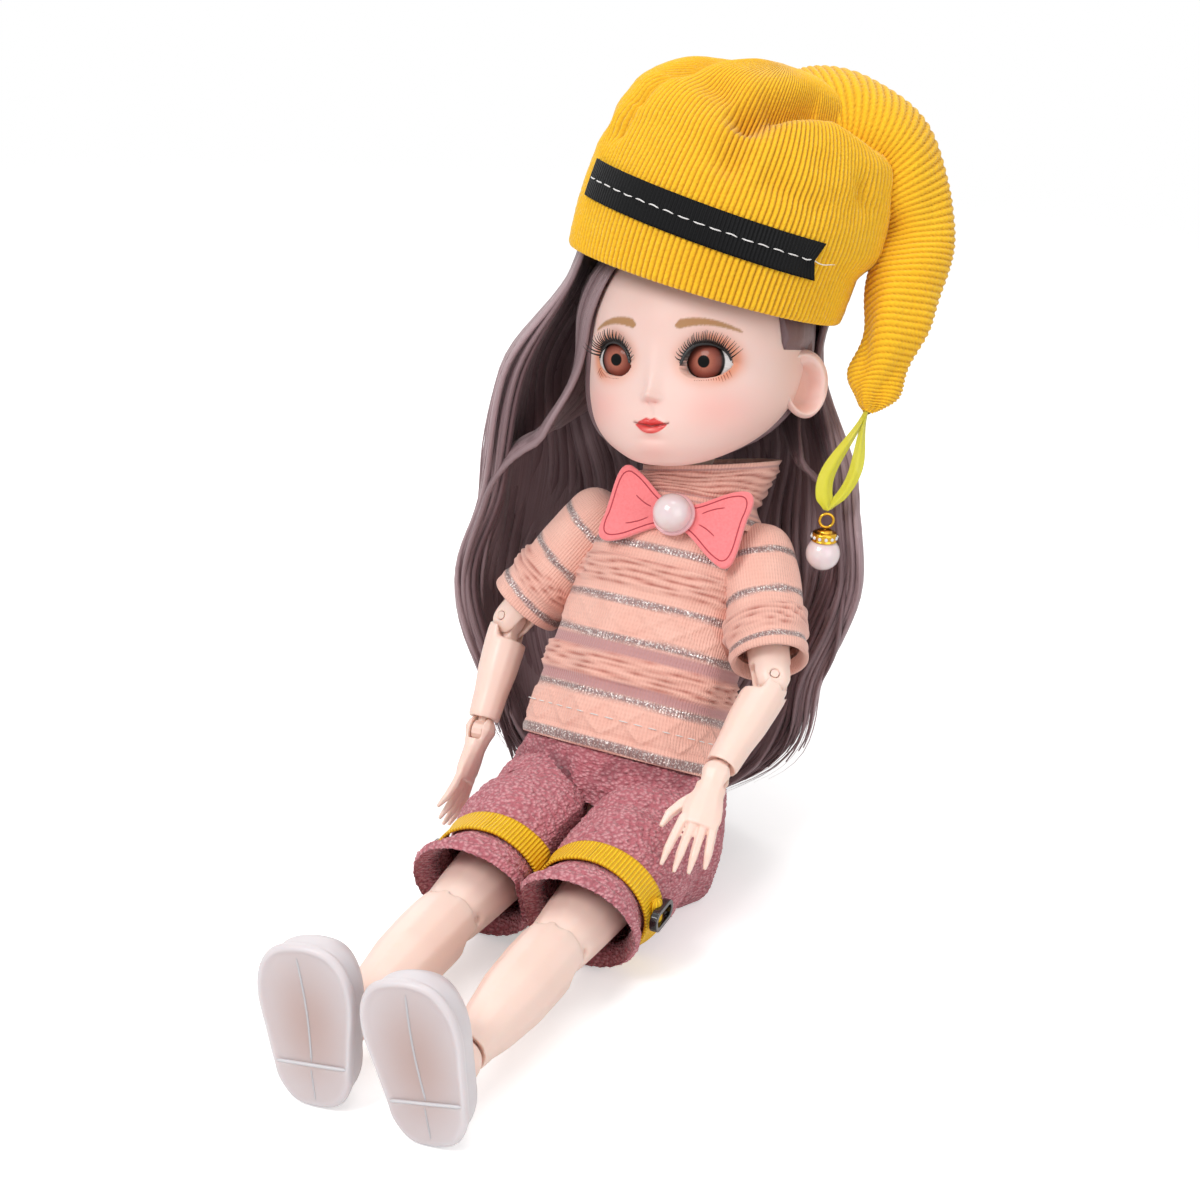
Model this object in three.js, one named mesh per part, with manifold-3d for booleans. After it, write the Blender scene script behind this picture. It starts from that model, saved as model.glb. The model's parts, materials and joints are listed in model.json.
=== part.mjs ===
// A seated, ball-jointed fashion doll in knitted clothes, with a long wig and a slouching hat.
// Units are millimetres. The doll faces -Y, its left hand is on +X, and it sits on the plane Z = 0.
// Each limb is drawn standing, hanging down from its upper joint, and is then turned to its rest angle.
import * as THREE from 'three';
import { mergeVertices } from 'three/addons/utils/BufferGeometryUtils.js';
import Module from 'manifold-3d';

const wasm = await Module();
wasm.setup();

// Clearances
const GAP = 0.3;                  // between any two pieces that touch
const JOINT_GAP = 0.3;            // between a rounded joint end and the cup around it

// Body lengths, from joint axis to joint axis
const HIP_HEIGHT = 18;            // hip axis above the seat
const HIP_HALF = 14;
const WAIST_HEIGHT = 27;          // the next three are measured up the spine from the hip axis
const SHOULDER_HEIGHT = 71;
const NECK_HEIGHT = 83.8;
const SHOULDER_HALF = 23;
const NECK_LENGTH = 12;
const HEAD_ABOVE_NECK = 22.4;     // eye level above the upper neck joint
const UPPER_ARM = 33.5;
const FOREARM = 30;
const HAND_LENGTH = 26;
const THIGH = 61.7;
const SHIN = 51.1;
const ANKLE_TO_SOLE = 16.3;

// Joint ends
const WAIST_BALL_R = 9;
const SHOULDER_BALL_R = 6.2;
const ELBOW_R = 5.2;
const WRIST_R = 4.2;
const HIP_BALL_R = 8.9;
const KNEE_R = 7.6;
const ANKLE_R = 5.2;
const NECK_BALL_R = 6.2;
const HEAD_JOINT_R = 5.6;
const PIN_R = 1.2;
const FOOT_SET_BACK = 2;          // the ankle is this far behind the foot's middle

// Head
const HEAD_WALL = 2.2;
const EYE_R = 7.5;
const EYE_HALF = 11.3;            // half the distance between the eyeballs' centres
const EYE_DEPTH = 15.5;           // eyeball centre in front of the head's axis
const EYE_OPENING = { x: 12.2, halfWidth: 5.8, halfHeight: 4.1 };
const HAIR_THICK = 3.6;

// Clothes
const SWEATER_WALL = 1.6;
const SWEATER_HEM = 16;           // up the spine from the hip axis
const NECKLINE_DROP = 1.8;        // the sweater's top is this far below the neck joint
const COLLAR_SHIFT = 3.5;         // the collar sits a little to the doll's left
const SLEEVE_LENGTH = 28;
const SLEEVE_R = 9.6;
const SHORTS_WALL = 2.4;
const SHORTS_LEG_R = 15.2;
const SHORTS_LEG_END = 51;        // hem's middle below the hip axis
const SHORTS_HEM_SLANT = 0.42;    // the hem is this much lower, per mm of depth, in front
const SHORTS_SEAM = 12;           // the seat's short leg stubs end here, below the hip axis
const LEG_FLAT = 12.3;            // where the two shorts legs press flat against each other
const STRAP_WIDTH = 8.5;
const STRAP_THICK = 0.9;
const STRAP_AT = 38;              // strap's middle below the hip axis
const BUCKLE_LENGTH = 11;
const BUCKLE_WIDTH = 5.4;
const BUCKLE_THICK = 1.8;
const BUCKLE_BAR = 1.2;
const BOW_DROP = 7.2;             // the bow's middle is this far below the neck joint
const BOW_WIDTH = 39;
const BOW_HEIGHT = 21;
const BOW_THICK = 1.6;
const BOW_PEARL_R = 5;

// Shoes
const SOLE_LENGTH = 39;
const SOLE_WIDTH = 23;
const SOLE_THICK = 2.6;
const HEEL_STEP = 1;              // the heel stands this much proud of the sole
const HEEL_LENGTH = 12;
const SHOE_WALL = 1.3;
const SHOE_INSET = 0.9;           // the upper stands this far in from the sole's edge
const SHOE_HEIGHT = 9.5;

// Hat
const HAT_WALL = 1.8;
const HAT_TILT = 17;              // degrees down towards the doll's left ear
const HAT_SEAT = 19.5;            // brim's middle above eye level
const HAT_BRIM_RX = 35.2;
const HAT_BRIM_RY = 36;
const HAT_HEIGHT = 56.5;
const BAND_WIDTH = 9.5;
const BAND_THICK = 0.7;
const BAND_FROM = 12;             // band's lower edge above the brim's edge
const PENDANT_PEARL_R = 4.3;

// Rest angles in degrees
const TRUNK_LEAN = 25.3;
const NECK_FORWARD = 12.7;
const HEAD_TILT = 8.7;            // towards the doll's right
const LEG_RAISE = 87;             // from hanging straight down
const LEG_YAW = 4.3;              // both legs turn this far to the doll's left
const REST = {
  left: {
    side: 1, swing: -19.6, lift: 26, turn: 67.2, elbow: 32.5, wristTurn: -5.1, wristBend: 9.2,
    ankleTurn: -11.2,
  },
  right: {
    side: -1, swing: 3.6, lift: 31.3, turn: 69.3, elbow: 35.3, wristTurn: -110, wristBend: 3.9,
    ankleTurn: -7.5,
  },
};

// Colours and finishes
function material(color, roughness, metalness = 0) {
  return new THREE.MeshStandardMaterial({ color, roughness, metalness });
}

const LIMB = material('#f3cdb9', 0.45);
const FACE = material('#ecccc3', 0.5);
const EYE = material('#6b3f36', 0.1);
const HAIR = material('#6a5557', 0.55);
const KNIT = material('#eeb39e', 0.9);
const TERRY = material('#a8606a', 0.95);
const STRAP = material('#f0b90c', 0.6);
const BLACK = material('#17171a', 0.35);
const FELT = material('#f58385', 0.85);
const PEARL = material('#f3ece8', 0.15);
const CORDUROY = material('#f6b50a', 0.95);
const ORGANZA = material('#e2dc14', 0.4);
const GOLD = material('#d9a520', 0.25, 1);
const SHOE = material('#d9cdcf', 0.4);
const STEEL = material('#b9b9bc', 0.3, 1);

const rad = THREE.MathUtils.degToRad;
const X = new THREE.Vector3(1, 0, 0);
const Y = new THREE.Vector3(0, 1, 0);
const Z = new THREE.Vector3(0, 0, 1);

// Solids

// Strips a geometry to merged positions, without zero-area corners and with its faces outwards.
function tidy(geometry) {
  const bare = new THREE.BufferGeometry();
  bare.setAttribute('position', geometry.getAttribute('position').clone());
  if (geometry.index) bare.setIndex(geometry.index.clone());
  const merged = mergeVertices(bare, 1e-4);
  const at = merged.getAttribute('position');
  const kept = [];
  let volume = 0;
  const [a, b, c] = [new THREE.Vector3(), new THREE.Vector3(), new THREE.Vector3()];
  for (let i = 0; i < merged.index.count; i += 3) {
    const [p, q, r] = [0, 1, 2].map((k) => merged.index.getX(i + k));
    if (p === q || q === r || r === p) continue;
    kept.push(p, q, r);
    a.fromBufferAttribute(at, p);
    b.fromBufferAttribute(at, q);
    c.fromBufferAttribute(at, r);
    volume += a.dot(b.cross(c));
  }
  if (volume < 0) kept.reverse();
  merged.setIndex(kept);
  return merged;
}

function toManifold(geometry) {
  const bare = tidy(geometry);
  const vertProperties = new Float32Array(bare.getAttribute('position').array);
  const triVerts = new Uint32Array(bare.index.array);
  return new wasm.Manifold(new wasm.Mesh({ numProp: 3, vertProperties, triVerts }));
}

function toGeometry(manifold) {
  const mesh = manifold.getMesh();
  const geometry = new THREE.BufferGeometry();
  geometry.setAttribute('position', new THREE.BufferAttribute(new Float32Array(mesh.vertProperties), 3));
  geometry.setIndex(new THREE.BufferAttribute(new Uint32Array(mesh.triVerts), 1));
  return geometry;
}

function cut(base, ...tools) {
  return toGeometry(tools.reduce((whole, tool) => whole.subtract(toManifold(tool)), toManifold(base)));
}

function join(base, ...more) {
  return toGeometry(more.reduce((whole, part) => whole.add(toManifold(part)), toManifold(base)));
}

function common(base, tool) {
  return toGeometry(toManifold(base).intersect(toManifold(tool)));
}

// Shapes

const moved = (geometry, x, y, z) => geometry.clone().translate(x, y, z);
const ball = (r, across = 12, down = 8) => new THREE.SphereGeometry(r, across, down).rotateX(Math.PI / 2);

// The hollow around a ball: its flat facets all lie outside the ball's clearance.
const hollow = (r) => ball((r + JOINT_GAP) / (Math.cos(Math.PI / 10) * Math.cos(Math.PI / 12)), 10, 6);

// A rod or disc centred on the origin, along one axis.
function rod(r, length, axis = Z, sides = 12) {
  const turn = new THREE.Quaternion().setFromUnitVectors(Y, axis);
  return new THREE.CylinderGeometry(r, r, length, sides).applyQuaternion(turn);
}

// A box from its lowest to its highest corner.
function block(low, high) {
  const size = high.map((v, i) => v - low[i]);
  const middle = high.map((v, i) => (v + low[i]) / 2);
  return new THREE.BoxGeometry(...size).translate(...middle);
}

// Sections of a rounded end: a half ball at height z, opening downwards (-1) or upwards (1).
function roundEnd(z, r, way, count = 3) {
  const rings = [];
  for (let i = 0; i < count; i += 1) {
    const angle = rad(6 + (84 * i) / count);
    rings.push([z + way * r * Math.cos(angle), r * Math.sin(angle), r * Math.sin(angle), 0, 0]);
  }
  return way < 0 ? rings : rings.reverse();
}

// A closed skin over elliptical sections [height, half width, half depth, x, y], lowest first.
function skin(sections, sides = 16, grow = 0) {
  return loft(sections.map(([height, halfX, halfY, x = 0, y = 0], i) => {
    const end = i === 0 ? -1 : Number(i === sections.length - 1);
    const ring = [];
    for (let s = 0; s < sides; s += 1) {
      const angle = (2 * Math.PI * s) / sides;
      ring.push(new THREE.Vector3(
        x + (halfX + grow) * Math.cos(angle),
        y + (halfY + grow) * Math.sin(angle),
        height + end * grow,
      ));
    }
    return ring;
  }));
}

// Joins rings of points, one above the other, into a closed solid.
function loft(rings) {
  const sides = rings[0].length;
  const points = rings.flat();
  const index = [];
  for (let r = 0; r < rings.length - 1; r += 1) {
    for (let s = 0; s < sides; s += 1) {
      const [a, b] = [r * sides + s, r * sides + ((s + 1) % sides)];
      index.push(a, b, b + sides, a, b + sides, a + sides);
    }
  }
  for (const [ring, flip] of [[0, true], [rings.length - 1, false]]) {
    const middle = rings[ring].reduce((sum, p) => sum.add(p), new THREE.Vector3()).divideScalar(sides);
    const hub = points.push(middle) - 1;
    for (let s = 0; s < sides; s += 1) {
      const [a, b] = [ring * sides + s, ring * sides + ((s + 1) % sides)];
      index.push(...(flip ? [hub, b, a] : [hub, a, b]));
    }
  }
  const geometry = new THREE.BufferGeometry().setFromPoints(points);
  geometry.setIndex(index);
  return geometry;
}

// A round tube of changing radius along a smooth curve, with rounded ends.
function taperedTube(points, radii, steps, sides) {
  const curve = new THREE.CatmullRomCurve3(points.map((p) => new THREE.Vector3(...p)));
  const frames = curve.computeFrenetFrames(steps, false);
  const rings = [];
  for (let i = 0; i <= steps; i += 1) {
    const t = i / steps;
    const place = t * (radii.length - 1);
    const k = Math.min(Math.floor(place), radii.length - 2);
    const [rx, ry] = [0, 1].map((n) => THREE.MathUtils.lerp(radii[k][n], radii[k + 1][n], place - k));
    const middle = curve.getPointAt(t);
    const ring = [];
    for (let s = 0; s < sides; s += 1) {
      const angle = (2 * Math.PI * s) / sides;
      ring.push(middle.clone()
        .addScaledVector(frames.normals[i], rx * Math.cos(angle))
        .addScaledVector(frames.binormals[i], ry * Math.sin(angle)));
    }
    rings.push(ring);
  }
  return loft(rings);
}

// Moves every point of a geometry by a rule.
function warp(geometry, rule) {
  const at = geometry.getAttribute('position');
  const p = new THREE.Vector3();
  for (let i = 0; i < at.count; i += 1) {
    p.fromBufferAttribute(at, i);
    rule(p);
    at.setXYZ(i, p.x, p.y, p.z);
  }
  return geometry;
}

// Groups and nodes

const doll = new THREE.Group();

function group(parent, place = [0, 0, 0], turn = [0, 0, 0]) {
  const made = new THREE.Group();
  made.position.set(...place);
  made.rotation.set(...turn.map(rad));
  parent.add(made);
  return made;
}

function node(parent, name, geometry, finish) {
  const mesh = new THREE.Mesh(tidy(geometry), finish);
  mesh.name = name;
  parent.add(mesh);
  return mesh;
}

const frameOf = (name) => doll.getObjectByName(name).parent;

// Takes a geometry drawn in one frame into another.
function from(frame, geometry, into = doll) {
  doll.updateMatrixWorld(true);
  return geometry.clone().applyMatrix4(frame.matrixWorld).applyMatrix4(into.matrixWorld.clone().invert());
}

// A knuckle is a flat disc, which turns between two cheeks, on a round peg, which turns in a bore.
const knuckle = (discR, thick, discAxis, pegR, pegLength, pegWay) => join(
  rod(discR, thick, discAxis, 12),
  rod(pegR, pegLength, Z, 8).translate(0, 0, pegLength / 2)
    .applyQuaternion(new THREE.Quaternion().setFromUnitVectors(Z, pegWay)),
);

// The slot between the cheeks: as wide as the disc with its clearance, open on the far side of z.
function slot(discR, thick, axis, way, z = 0) {
  const half = thick / 2 + GAP;
  const far = 40;
  const [low, high] = way < 0 ? [-far, discR + GAP] : [-discR - GAP, far];
  return axis === X
    ? block([-half, -far, z + low], [half, far, z + high])
    : block([-far, -half, z + low], [far, half, z + high]);
}

// Trunk: pelvis, waist knuckle, chest

const WAIST_DISC = { r: 5, thick: 5, pegR: 2.6, pegLength: 15 };
const HIP_DISC = { r: 5, thick: 4, pegR: 2, pegLength: 12.6 };
const SHOULDER_DISC = { r: 3.6, thick: 3.4, pegR: 1.7, pegLength: 15 };

const hips = group(doll, [0, 0, HIP_HEIGHT]);
const trunk = group(hips, [0, 0, 0], [-TRUNK_LEAN, 0, 0]);
const sides = Object.entries(REST);

// A height on the upper body, as a share of the way from under the arms up to the neck joint.
const UNDERARM_DROP = 5;
const yoke = (share) => THREE.MathUtils.lerp(SHOULDER_HEIGHT - UNDERARM_DROP, NECK_HEIGHT, share);

function pelvis() {
  const body = join(
    skin([
      [-10.5, 5, 4], [-8, 12, 8.5], [0, 18.5, 10.5], [8, 17.5, 10.5], [15, 14.5, 9.2],
      [WAIST_HEIGHT - 5, 9.5, 7.6], [WAIST_HEIGHT - 3, 8, 7],
    ], 12),
    moved(ball(WAIST_BALL_R), 0, 0, WAIST_HEIGHT),
  );
  const cups = sides.flatMap(([, { side }]) => [
    moved(hollow(HIP_BALL_R), side * HIP_HALF, 0, 0),
    ...[0, 30, 60, 90].map((swing) => rod(HIP_BALL_R + 1, 30, Z, 8).translate(0, 0, -15)
      .rotateY(rad(-LEG_YAW)).rotateX(rad(TRUNK_LEAN - swing)).translate(side * HIP_HALF, 0, 0)),
    rod(HIP_DISC.pegR + GAP, HIP_DISC.pegLength, X, 12)
      .translate(side * (HIP_HALF - HIP_DISC.pegLength / 2 - GAP), 0, 0),
  ]);
  return cut(body, slot(WAIST_DISC.r, WAIST_DISC.thick, X, 1, WAIST_HEIGHT), ...cups);
}

const chestForm = (grow) => skin([
  [WAIST_HEIGHT + 1.5, 14, 10.8], [36, 13.8, 10.6], [46, 15.5, 11.5], [56, 17.2, 11.8], [yoke(0), 17.6, 11],
  [yoke(0.4), 16.4, 9.4], [yoke(0.67), 11, 8.8], [NECK_HEIGHT - 0.8, 9, 8.6],
], 12, grow);

function chest() {
  const pegTop = WAIST_HEIGHT + WAIST_DISC.pegLength + GAP;
  return cut(
    chestForm(0),
    moved(hollow(WAIST_BALL_R), 0, 0, WAIST_HEIGHT),
    rod(WAIST_DISC.pegR + GAP, pegTop - WAIST_HEIGHT).translate(0, 0, (pegTop + WAIST_HEIGHT) / 2),
    moved(hollow(NECK_BALL_R), 0, 0, NECK_HEIGHT),
    ...sides.flatMap(([, { side }]) => [
      moved(hollow(SHOULDER_BALL_R), side * SHOULDER_HALF, 0, SHOULDER_HEIGHT),
      rod(SHOULDER_DISC.pegR + GAP, SHOULDER_DISC.pegLength + GAP, X, 12)
        .translate(side * (SHOULDER_HALF - (SHOULDER_DISC.pegLength + GAP) / 2), 0, SHOULDER_HEIGHT),
    ]),
  );
}

node(trunk, 'pelvis', pelvis(), LIMB);
node(group(trunk, [0, 0, WAIST_HEIGHT]), 'waist_knuckle',
  knuckle(WAIST_DISC.r, WAIST_DISC.thick, X, WAIST_DISC.pegR, WAIST_DISC.pegLength, Z), LIMB);
node(trunk, 'chest', chest(), LIMB);

// Neck and head

const HEAD_DISC = { r: 3.4, thick: 4.4, pegR: 2.2, pegLength: 14 };
const neckFrame = group(trunk, [0, 0, NECK_HEIGHT], [NECK_FORWARD, 0, 0]);
const headJoint = group(neckFrame, [0, 0, NECK_LENGTH], [0, -HEAD_TILT, 0]);
const head = group(headJoint, [0, 0, HEAD_ABOVE_NECK]);

function neck() {
  const column = skin([
    ...roundEnd(0, NECK_BALL_R, -1), [0, NECK_BALL_R, NECK_BALL_R], [3.5, 5.4, 5.4], [8, 5, 5],
    [NECK_LENGTH, HEAD_JOINT_R, HEAD_JOINT_R], ...roundEnd(NECK_LENGTH, HEAD_JOINT_R, 1),
  ], 12);
  return cut(column, slot(HEAD_DISC.r, HEAD_DISC.thick, Y, 1, NECK_LENGTH));
}

// The head's outline as level sections, eye level at height 0.
const HEAD_SECTIONS = [
  [-25.6, 6, 4, 0, -18.5], [-24, 11.5, 8.5, 0, -16], [-20.5, 17.8, 15, 0, -12], [-16, 22.4, 20, 0, -8],
  [-10, 25.6, 24, 0, -3.6], [-3, 27, 26.6, 0, -0.6], [5, 27.5, 28, 0, 1.2], [13, 26.8, 28.2, 0, 2.2],
  [21, 23.8, 25.6, 0, 2.8], [28, 17.6, 19.4, 0, 3], [32.5, 9.5, 10.6, 0, 3], [34, 3, 3.4, 0, 3],
];
const headEgg = (grow, around = 16) => skin(HEAD_SECTIONS, around, grow);
const headInside = () => skin(HEAD_SECTIONS.filter((_, i) => i % 2 === 0 || i === 11), 8, -HEAD_WALL);

const NECK_HOLE_R = 7.4;
const capSide = (grow) => block([-60, 0, -60], [60, 120, 60]).translate(0, grow, 0)
  .rotateX(rad(45)).translate(0, 8, 10);

function face() {
  const features = [
    ball(1, 8, 6).scale(2.4, 3.1, 3.6).rotateX(rad(-16)).translate(0, -28, -7.2),
    ball(1, 8, 5).scale(4.4, 1.8, 1.1).translate(0, -27, -14.9),
    ball(1, 8, 5).scale(3.2, 1.9, 1.2).translate(0, -26.6, -17),
  ];
  const ears = sides.map(([, { side }]) => cut(
    ball(1, 8, 6).scale(2.6, 6, 8.6).rotateX(rad(12)).rotateZ(rad(-side * 20)),
    ball(1, 6, 4).scale(2, 3.4, 4.8).translate(side * 3, -1.2, 1),
  ).translate(side * 27.2, 4.2, -5.6));
  const skull = join(headEgg(0), ...features, ...ears);
  const boss = rod(NECK_HOLE_R - 1, 11).translate(0, 0, -12.5);
  const shell = join(cut(skull, headInside()), common(boss, headEgg(-0.6, 10)));
  return cut(
    shell,
    moved(hollow(HEAD_JOINT_R + 0.4), 0, 0, -HEAD_ABOVE_NECK),
    rod(HEAD_DISC.pegR + GAP, 24, Z, 12).translate(0, 0, -HEAD_ABOVE_NECK + HEAD_DISC.pegLength + GAP - 12),
    ...sides.flatMap(([, { side }]) => [
      moved(hollow(EYE_R), side * EYE_HALF, -EYE_DEPTH, 0),
      rod(1, 16, Y, 16).scale(EYE_OPENING.halfWidth, 1, EYE_OPENING.halfHeight)
        .translate(side * EYE_OPENING.x, -EYE_DEPTH - 8, 0),
    ]),
    capSide(0),
  );
}

const capShell = () => common(cut(headEgg(0), headInside()), capSide(GAP));

node(neckFrame, 'neck', neck(), LIMB);
node(headJoint, 'head_knuckle',
  knuckle(HEAD_DISC.r, HEAD_DISC.thick, Y, HEAD_DISC.pegR, HEAD_DISC.pegLength, Z), LIMB);
node(head, 'face', face(), FACE);
node(head, 'head_cap', capShell(), FACE);
for (const [name, { side }] of sides) {
  node(head, `eye_${name}`, moved(ball(EYE_R), side * EYE_HALF, -EYE_DEPTH, 0), EYE);
}

// Wig: the hair on the skull, and the long fall behind the back

const WIG_LOW = -24;              // the skull hair ends here, below eye level

function wig() {
  const shell = cut(headEgg(HAIR_THICK), headEgg(GAP));
  const faceOpening = block([-60, -60, -60], [60, -7, 27]);
  const earOpenings = sides.map(([, { side }]) => moved(
    block([-12, -17, -21], [12, 6, 9]), side * 30, 6, 0,
  ));
  const below = block([-60, -60, -60], [60, 60, WIG_LOW]);
  const nape = skin([[-40, 14, 12], [-8, 14, 12]], 8);
  return cut(shell, faceOpening, ...earOpenings, below, nape);
}

const FALL_THICK = 8;
const FALL_LOCKS = 8;             // soft locks down the outside
// [height, half width, depth, middle x, middle y, share of the thickness, degrees round the back: from, to]
const FALL_LEVELS = [
  [0, 31.5, 16.5, -13.7, 42, 0.6, -110, 50], [14, 38.8, 19, -12, 40, 0.85, -118, 64],
  [28, 44.8, 22, -10.7, 38, 1, -115, 67], [45, 50.1, 25.5, -10.5, 36, 1, -110, 68],
  [62, 53.3, 28, -8.8, 36, 1, -107, 75], [85, 51.5, 30, -7.3, 38, 1, -110, 77],
  [100, 49.7, 32, -7.5, 40, 1, -115, 74], [116, 48, 34, -8, 43.5, 0.9, -120, 63],
  [140, 43, 35, -8.4, 47, 0.8, -125, 64], [172, 36, 34, -5, 52, 0.6, -130, 66],
];

// The fall is a curved curtain: an outer and an inner arc at each level.
function hairFall() {
  const steps = 12;
  return FALL_LEVELS.map(([z, wide, deep, x, y, share, from_, to]) => {
    const outer = [];
    const inner = [];
    for (let i = 0; i <= steps; i += 1) {
      const angle = rad(THREE.MathUtils.lerp(from_, to, i / steps));
      const edge = Math.sin((Math.PI * (i + 0.6)) / (steps + 1.2));
      const lock = 1.2 * Math.cos((2 * Math.PI * FALL_LOCKS * i) / steps / 2);
      const point = (off) => new THREE.Vector3(
        x + (wide + off) * Math.sin(angle), y + (deep + off) * Math.cos(angle), z,
      );
      outer.push(point(share * lock));
      inner.push(point(-FALL_THICK * share * (0.3 + 0.7 * edge)));
    }
    return [...outer, ...inner.reverse()];
  });
}

// Closes a curtain's ends with strips between its paired outer and inner points.
function curtain(rings) {
  const sidesOfRing = rings[0].length;
  const points = rings.flat();
  const index = [];
  for (let r = 0; r < rings.length - 1; r += 1) {
    for (let s = 0; s < sidesOfRing; s += 1) {
      const [a, b] = [r * sidesOfRing + s, r * sidesOfRing + ((s + 1) % sidesOfRing)];
      index.push(a, b, b + sidesOfRing, a, b + sidesOfRing, a + sidesOfRing);
    }
  }
  for (const [ring, flip] of [[0, true], [rings.length - 1, false]]) {
    for (let s = 0; s < sidesOfRing / 2 - 1; s += 1) {
      const start = ring * sidesOfRing;
      const [a, b] = [start + s, start + s + 1];
      const [c, d] = [start + sidesOfRing - 2 - s, start + sidesOfRing - 1 - s];
      index.push(...(flip ? [a, c, b, a, d, c] : [a, b, c, a, c, d]));
    }
  }
  const geometry = new THREE.BufferGeometry().setFromPoints(points);
  geometry.setIndex(index);
  return geometry;
}

node(head, 'wig', wig(), HAIR);

// Arms

const ARM_PEG = { r: 1.7, length: 13 };
const ELBOW_TONGUE = { r: 3.8, thick: 3.6 };
const WRIST_DISC = { r: 2.6, thick: 2.8, pegR: 1.4, pegLength: 12 };
const ELBOW_SLEW = 1.4;           // how far below the axis the lower piece's rim starts

function armSocket() {
  const body = ball(SHOULDER_BALL_R, 10, 7);
  const stem = rod(ARM_PEG.r, ARM_PEG.length, Z, 10)
    .translate(0, 0, -ARM_PEG.length / 2 - SHOULDER_DISC.r - GAP);
  return join(cut(body, slot(SHOULDER_DISC.r, SHOULDER_DISC.thick, Y, 1)), stem);
}

// The lower end of an upper limb: a ball with a slot for the tongue and a hole for the pin.
const hingeCuts = (z, tongue, backOnly) => {
  const half = tongue.thick / 2 + GAP;
  const top = z + tongue.r + GAP;
  const open = backOnly ? -tongue.r - GAP : -40;
  return [block([-half, open, z - 40], [half, 40, top]), rod(PIN_R + GAP / 2, 40, X, 8).translate(0, 0, z)];
};

function upperArm() {
  const top = -SHOULDER_BALL_R + 0.8;
  const body = skin([
    [-UPPER_ARM - ELBOW_R * 0.99, 0.8, 0.8], ...roundEnd(-UPPER_ARM, ELBOW_R, -1, 3).slice(1),
    [-UPPER_ARM, ELBOW_R, ELBOW_R], [-UPPER_ARM * 0.6, 5.3, 5.5], [top, 5.6, 5.6],
  ], 12);
  const boreDepth = SHOULDER_DISC.r + ARM_PEG.length + 2 * GAP;
  return cut(
    body,
    hollow(SHOULDER_BALL_R),
    rod(ARM_PEG.r + GAP, boreDepth, Z, 10).translate(0, 0, -boreDepth / 2),
    ...hingeCuts(-UPPER_ARM, ELBOW_TONGUE, false),
  );
}

// The upper end of a lower limb: a cup below the ball, a tongue inside it, and room to bend one way.
function lowerLimb(sections, ballR, tongue, bendWay, around) {
  const cup = cut(
    skin(sections, around),
    hollow(ballR),
    bendWay > 0
      ? block([-40, 1, -ballR - JOINT_GAP], [40, 40, 40])
      : block([-40, -40, -ballR - JOINT_GAP], [40, -1, 40]),
  );
  const neckDown = ballR + 3;
  const neckHalf = tongue.r * 0.62;
  const tongueBody = join(
    rod(tongue.r, tongue.thick, X, 12),
    block([-tongue.thick / 2, -neckHalf, -neckDown], [tongue.thick / 2, neckHalf, 0]),
  );
  return cut(join(cup, tongueBody), rod(PIN_R + GAP, 20, X, 8));
}

function forearm() {
  const low = -FOREARM + WRIST_R + JOINT_GAP;
  const shape = [
    [low - 1.6, 4.3, 4.1], [low + 6, 4.7, 4.5], [-14, 5.4, 5.2], [-7, 5.7, 5.5], [-ELBOW_SLEW, 5.6, 5.5],
  ];
  const boreLength = WRIST_DISC.pegLength + GAP;
  return cut(
    lowerLimb(shape, ELBOW_R, ELBOW_TONGUE, -1, 12),
    moved(hollow(WRIST_R), 0, 0, -FOREARM),
    rod(WRIST_DISC.pegR + GAP, boreLength, Z, 10).translate(0, 0, -FOREARM + boreLength / 2),
  );
}

// A finger is a slim bent tube from the palm, in the hand's own frame: fingers down, thumb towards -y.
const finger = (points, r) => taperedTube(points, [1, 1.02, 0.94, 0.45].map((k) => [r * k, r * k]), 3, 5);

function hand(side) {
  const palmLow = -HAND_LENGTH * 0.54;
  const palm = skin([
    [palmLow, 1.7, 4.5, 0, 0.4], [palmLow + 3, 2.3, 5.1, 0, 0.2], [-8, 2.5, 4.7], [-5, 2.7, 3.8],
    [-2, 3.4, 3.8], [0, WRIST_R, WRIST_R], ...roundEnd(0, WRIST_R, 1),
  ], 10);
  const fingers = [-3.7, -1.2, 1.3, 3.7].map((y, i) => {
    const length = HAND_LENGTH * [0.43, 0.46, 0.43, 0.34][i];
    const inward = -side;
    const spread = y * 0.16;
    return finger([
      [0, y, palmLow + 1.5], [inward * 0.5, y + spread, palmLow - length * 0.35],
      [inward * 1.4, y + spread * 1.8, palmLow - length * 0.7],
      [inward * 2.8, y + spread * 2.2, palmLow - length],
    ], 1.25);
  });
  const thumb = finger([
    [-side * 0.4, -2.6, -6], [-side * 1.2, -5.6, -9.5], [-side * 1.8, -7.6, -13], [-side * 2.2, -8.2, -16],
  ], 1.5);
  return cut(join(palm, ...fingers, thumb), slot(WRIST_DISC.r, WRIST_DISC.thick, X, 1));
}

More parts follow.
